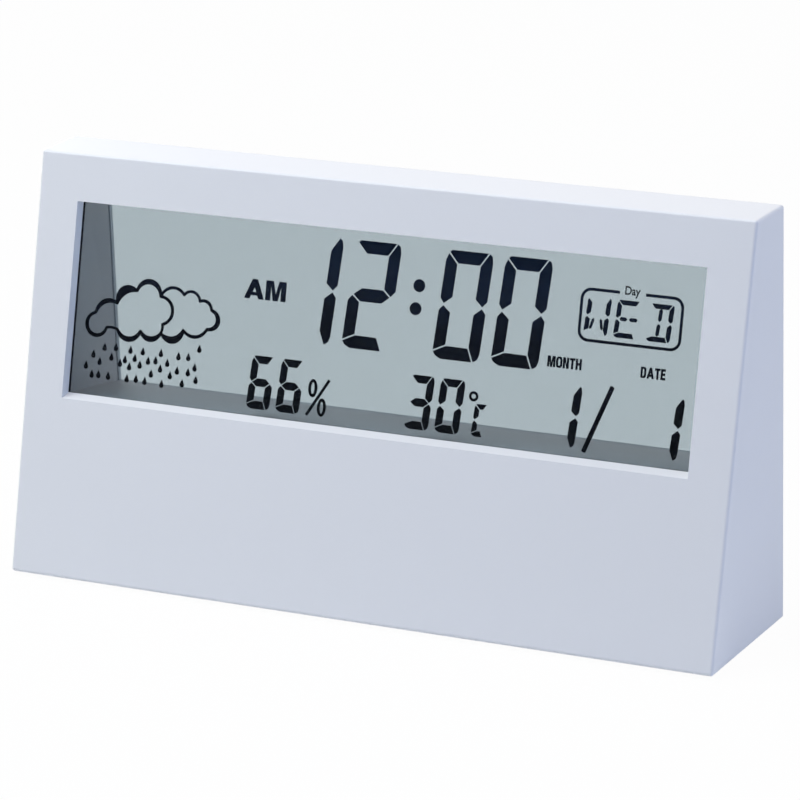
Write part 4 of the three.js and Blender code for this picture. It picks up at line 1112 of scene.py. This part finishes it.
buttonWords = {
    "words": ("MODE", "SET", "UP", "DOWN", "ALARM"),
    "capital": 1.7,        # mm
    "below": 5.6,          # mm from the buttons' middles down to the words' feet
    "ink": 0.04,           # mm thick, half of it proud of the cover
    "weight": 0.0,
}


def printWords():   # on the rear cover, read from behind
    values = buttonWords
    gathered = bmesh.new()
    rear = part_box("rear_cover")[1].y
    for name, word in zip(nodesNamed("button_"), values["words"]):
        mesh = thinWord(word, values)
        low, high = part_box(name)
        right = extent(mesh, 0)[1]
        size = values["capital"] / extent(mesh, 1)[1]
        for corner in mesh.vertices:
            x, y, z = corner.co
            corner.co = ((low.x + high.x) / 2 - (x - right / 2) * size * mm,
                         rear + values["ink"] * z * mm,
                         (low.z + high.z) / 2 + (y * size - values["below"]) * mm)
        gathered.from_mesh(mesh)
    mesh = bpy.data.meshes.new("buttonWords")
    gathered.to_mesh(mesh)
    putIn(mesh, "button_words", finishes["printInk"], "case")


printWords()
print("button words printed")

foot = {   # mm
    "radius": 4.0, "height": 1.4, "edge": 0.6, "edgeIn": 0.25, "shoulder": 0.3,
    "hollow": 0.15, "hollowRadius": 2.4, "hollowSlope": 0.3, "hollowEdge": 0.2,
    "corner": 0.1,
    "sides": 72,
}


def footPath():
    r, high, edge, hollow, inner, corner = (
        foot[key] for key in ("radius", "height", "edge", "hollow", "hollowRadius", "corner"))
    return [(0, hollow, 0), (inner, hollow, foot["hollowEdge"]),
            (inner + foot["hollowSlope"], 0, corner), (r - foot["edgeIn"], 0, edge / 2),
            (r, edge, foot["shoulder"]), (r, high, corner), (0, high, 0)]


def makeFeet():
    for name in nodesNamed("foot_"):
        low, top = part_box(name)
        mesh = turnedMesh(name + "_pad", footPath(), foot["sides"])
        mesh.transform(Matrix.Translation(((low.x + top.x) / 2, (low.y + top.y) / 2, low.z))
                       @ Matrix.Scale(mm, 4))
        putIn(mesh, name + "_pad", finishes["rubber"], "case", [name])


makeFeet()
print("feet turned")

cellShape = {   # mm, the minus end at zero
    "radius": 5.25, "body": 43.6, "footEdge": 0.55, "headEdge": 0.6,
    "plate": 4.0, "plateEdge": 0.12,
    "groove": (4.15, 4.4), "grooveDepth": 0.32, "grooveEdge": 0.08,   # round the minus plate
    "rim": 4.55, "rimFoot": 0.02,
    "crimp": (4.35, 4.15), "crimpDepth": 0.3, "crimpEdge": (0.12, 0.1),   # round the plus nub
    "nub": 0.9, "nubRadius": 1.9, "nubSlope": 0.25, "nubEdge": 0.28, "nubCorner": 0.15,
    "sides": 96,
}


def cellPath():
    shape = cellShape
    r, body, nub, edge = (shape[key] for key in ("radius", "body", "nubRadius", "plateEdge"))
    top, sunk = body + shape["nub"], body - shape["crimpDepth"]
    path = [(0, 0, 0), (shape["plate"], 0, edge)]
    path += [(radius, shape["grooveDepth"], shape["grooveEdge"]) for radius in shape["groove"]]
    path += [(shape["rim"], shape["rimFoot"], edge), (r, shape["rimFoot"], shape["footEdge"]),
             (r, body, shape["headEdge"])]
    path += [(radius, height, rounding) for radius, height, rounding
             in zip(shape["crimp"], (body, sunk), shape["crimpEdge"])]
    path += [(nub + shape["nubSlope"], sunk, shape["nubCorner"]), (nub, top, shape["nubEdge"]),
             (0, top, 0)]
    return path


def makeCells():
    for name, look, towards in (("battery_1", "upperCell", -1), ("battery_2", "lowerCell", 1)):
        low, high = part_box(name)
        middle = (low + high) / 2
        middle.x = low.x if towards > 0 else high.x
        mesh = turnedMesh(name + "_cell", cellPath(), cellShape["sides"])
        mesh.transform(standing(middle, Vector((towards, 0, 0))))
        putIn(mesh, name + "_cell", finishes[look], "case", [name])


makeCells()
print("cells turned")

screw = {   # mm
    "head": 1.9, "headHeight": 0.8, "headEdge": 0.25, "headFoot": 0.08,
    "crown": 0.06, "crownShare": 0.72, "crownSteps": 6,
    "shank": 0.9, "length": 8.0, "neck": 0.05, "tip": 1.0, "tipRadius": 0.35, "tipEdge": 0.2,
    "threadFrom": 1.3, "pitch": 0.6, "turns": 9, "threadDepth": 0.16, "threadRise": 0.22,
    "recess": 1.12, "recessWidth": 0.44, "recessDepth": 0.5, "recessTaper": 0.5,
    "sides": 48, "seed": 4,
}


def crossMesh():   # the tapered cross that the driver's recess is cut with
    arm, half, taper = screw["recess"], screw["recessWidth"] / 2, screw["recessTaper"]
    mouth, over = 0.02, 0.6   # mm above the crown: where the taper starts, and the cutter's top
    outline = [(arm, -half), (arm, half), (half, half), (half, arm), (-half, arm), (-half, half),
               (-arm, half), (-arm, -half), (-half, -half), (-half, -arm), (half, -arm),
               (half, -half)]
    count = len(outline)
    corners = [(x * taper, y * taper, -screw["recessDepth"]) for x, y in outline]
    corners += [(x, y, z) for z in (mouth, over) for x, y in outline]
    faces = [tuple(reversed(range(count))), tuple(range(2 * count, 3 * count))]
    for ring in (0, count):
        faces += [(ring + i, ring + (i + 1) % count, ring + count + (i + 1) % count,
                   ring + count + i) for i in range(count)]
    mesh = bpy.data.meshes.new("cross")
    mesh.from_pydata(corners, [], faces)
    return mesh


def screwMesh():   # pan head and shank, zero at the top of the head
    head, high, shank = screw["head"], screw["headHeight"], screw["shank"]
    low, core, rise = -high - screw["length"], shank - screw["threadDepth"], screw["threadRise"]
    path = [(0, low, 0), (screw["tipRadius"], low, 0),
            (shank, low + screw["tip"], screw["tipEdge"])]
    for i in range(screw["turns"]):   # rings stand in for the thread
        start = low + screw["threadFrom"] + i * screw["pitch"]
        path += [(core, start, 0), (shank, start + rise, 0), (core, start + 2 * rise, 0)]
    path += [(shank, -high - screw["pitch"], 0), (shank, -high, screw["neck"]),
             (head, -high, screw["headFoot"]), (head, -high / 2, screw["headEdge"])]
    for i in range(screw["crownSteps"] + 1):
        share = 1 - i / screw["crownSteps"]
        path.append((head * screw["crownShare"] * share, -screw["crown"] * share ** 2, 0))
    return turnedMesh("screw", path, screw["sides"])


def cutScrew():   # the screw with its cross recess, as an object to copy
    body = bpy.data.objects.new("screwBody", screwMesh())
    cutter = bpy.data.objects.new("cutter", crossMesh())
    for item in (body, cutter):
        scene.collection.objects.link(item)
    cut = body.modifiers.new("recess", "BOOLEAN")
    cut.operation, cut.object, cut.solver = "DIFFERENCE", cutter, "EXACT"
    template = bpy.data.objects.new("screw", evaluated(body))
    scene.collection.objects.link(template)
    for item in (body, cutter):
        bpy.data.objects.remove(item)
    return template


def makeScrews():
    tree = Tree("screws", {
        "Screw": "NodeSocketObject", "Facing": "NodeSocketVector", "Scale": "NodeSocketFloat",
        "Seed": "NodeSocketInt", "Metal": "NodeSocketMaterial"})
    shape = tree.add("GeometryNodeObjectInfo", {}, {"Object": tree.given("Screw")}, "Geometry")
    facing = tree.add("FunctionNodeAlignRotationToVector", {}, {"Vector": tree.given("Facing")})
    spin = tree.add("FunctionNodeRandomValue", {"data_type": "FLOAT"}, {   # up to a quarter turn
        2: 0.0, 3: math.pi / 2, "Seed": tree.given("Seed")}, 1)
    turn = tree.add("FunctionNodeAxisAngleToRotation", {}, {"Axis": (0, 0, 1), "Angle": spin})
    whole = tree.add("FunctionNodeRotateRotation", {"rotation_space": "LOCAL"}, {
        "Rotation": facing, "Rotate By": turn})
    placed = tree.add("GeometryNodeInstanceOnPoints", {}, {
        "Points": tree.given("Geometry"), "Instance": shape, "Rotation": whole,
        "Scale": tree.given("Scale")})
    template = cutScrew()
    names = nodesNamed("cover_screw_")
    faces = [outerFace(name, rearward) for name in names]
    spots = bpy.data.meshes.new("screwSpots")
    spots.from_pydata([middle for middle, normal in faces], [], [])
    mesh = tree.run(tree.realized(placed, tree.given("Metal")), spots, {
        "Screw": template, "Facing": faces[0][1], "Scale": mm, "Seed": screw["seed"],
        "Metal": finishes["steel"]})
    bpy.data.objects.remove(template)
    mesh.set_sharp_from_angle(angle=crease)
    putIn(mesh, "cover_screws", finishes["steel"], "case", names)


makeScrews()
print("screws placed")

setting = {
    "floorSize": 6.0,              # m
    "floorColour": (0.78, 0.79, 0.80),
    "seenWhite": 0.97,             # how much of the floor's look is plain white to the eye
    "sky": (0.80, 0.90, 1.0),
    "skyStrength": 0.04,
}
lamps = {   # place, aim and size in m; power in W
    "overhead": {"at": (-0.34, -0.22, 0.64), "aim": (0, 0, 0.05), "size": 0.6, "power": 4.95,
                 "colour": (0.92, 0.96, 0.985)},
    "topSoft": {"at": (0.17, 0.05, 0.85), "aim": (0, 0, 0.05), "size": 0.8, "power": 2.9,
                "colour": (1.0, 0.93, 0.92)},
    "rightSoft": {"at": (0.86, -0.30, 0.18), "aim": (0, 0, 0.03), "size": 0.6, "power": 2.4,
                  "colour": (0.27, 0.46, 1.0)},
    "rearSoft": {"at": (0.70, 0.60, 0.15), "aim": (0, 0, 0.04), "size": 0.6, "power": 2.0,
                 "colour": (0.96, 1.0, 0.94)},
    "backSoft": {"at": (-0.75, 0.75, 0.16), "aim": (0, 0, 0.04), "size": 0.3, "power": 2.4,
                 "colour": (0.98, 0.98, 1.0)},
}


def seenDirectly(home):   # 1 for rays from the eye, a mirror or through glass
    light = home.add("ShaderNodeLightPath", {}, []).socket.node
    eye, mirror, glass = (Value(home, light.outputs[name])
                          for name in ("Is Camera Ray", "Is Glossy Ray", "Is Transmission Ray"))
    return home.larger(home.larger(eye, mirror), glass)


def makeFloor():
    half = setting["floorSize"] / 2
    mesh = bpy.data.meshes.new("floor")
    mesh.from_pydata([(-half, -half, 0), (half, -half, 0), (half, half, 0), (-half, half, 0)],
                     [], [(0, 1, 2, 3)])
    floor = bpy.data.objects.new("floor", mesh)
    scene.collection.objects.link(floor)
    finish = Finish("paleFloor", Roughness=0.9, Specular_IOR_Level=0.1,
                    Base_Color=setting["floorColour"])
    white = finish.add("ShaderNodeEmission", {}, {"Color": (1, 1, 1, 1), "Strength": 1.0})
    finish.blend(seenDirectly(finish) * setting["seenWhite"], finish.plain, white)
    mesh.materials.append(finish.material)


def makeSky():   # lights the clock faintly, and is white to the eye
    scene.world = bpy.data.worlds.new("sky")
    scene.world.use_nodes = True
    sky = Nodes(scene.world.node_tree)
    faint = sky.tree.nodes["Background"]
    sky.give(faint.inputs["Color"], (*setting["sky"], 1))
    sky.give(faint.inputs["Strength"], setting["skyStrength"])
    white = sky.add("ShaderNodeBackground", {}, {"Color": (1, 1, 1, 1)})
    look = sky.add("ShaderNodeMixShader", {}, [
        seenDirectly(sky), Value(sky, faint.outputs[0]), white])
    sky.give(sky.tree.nodes["World Output"].inputs["Surface"], look)


def makeLamp(name, values):
    lamp = bpy.data.lights.new(name, "AREA")
    lamp.energy = values["power"]
    lamp.size = values["size"]
    lamp.color = values["colour"]
    shine = bpy.data.objects.new(name, lamp)
    shine.location = values["at"]
    way = Vector(values["aim"]) - Vector(values["at"])
    shine.rotation_euler = way.to_track_quat("-Z", "Y").to_euler()
    scene.collection.objects.link(shine)


makeFloor()
makeSky()
for name, values in lamps.items():
    makeLamp(name, values)
print("floor and lights set")
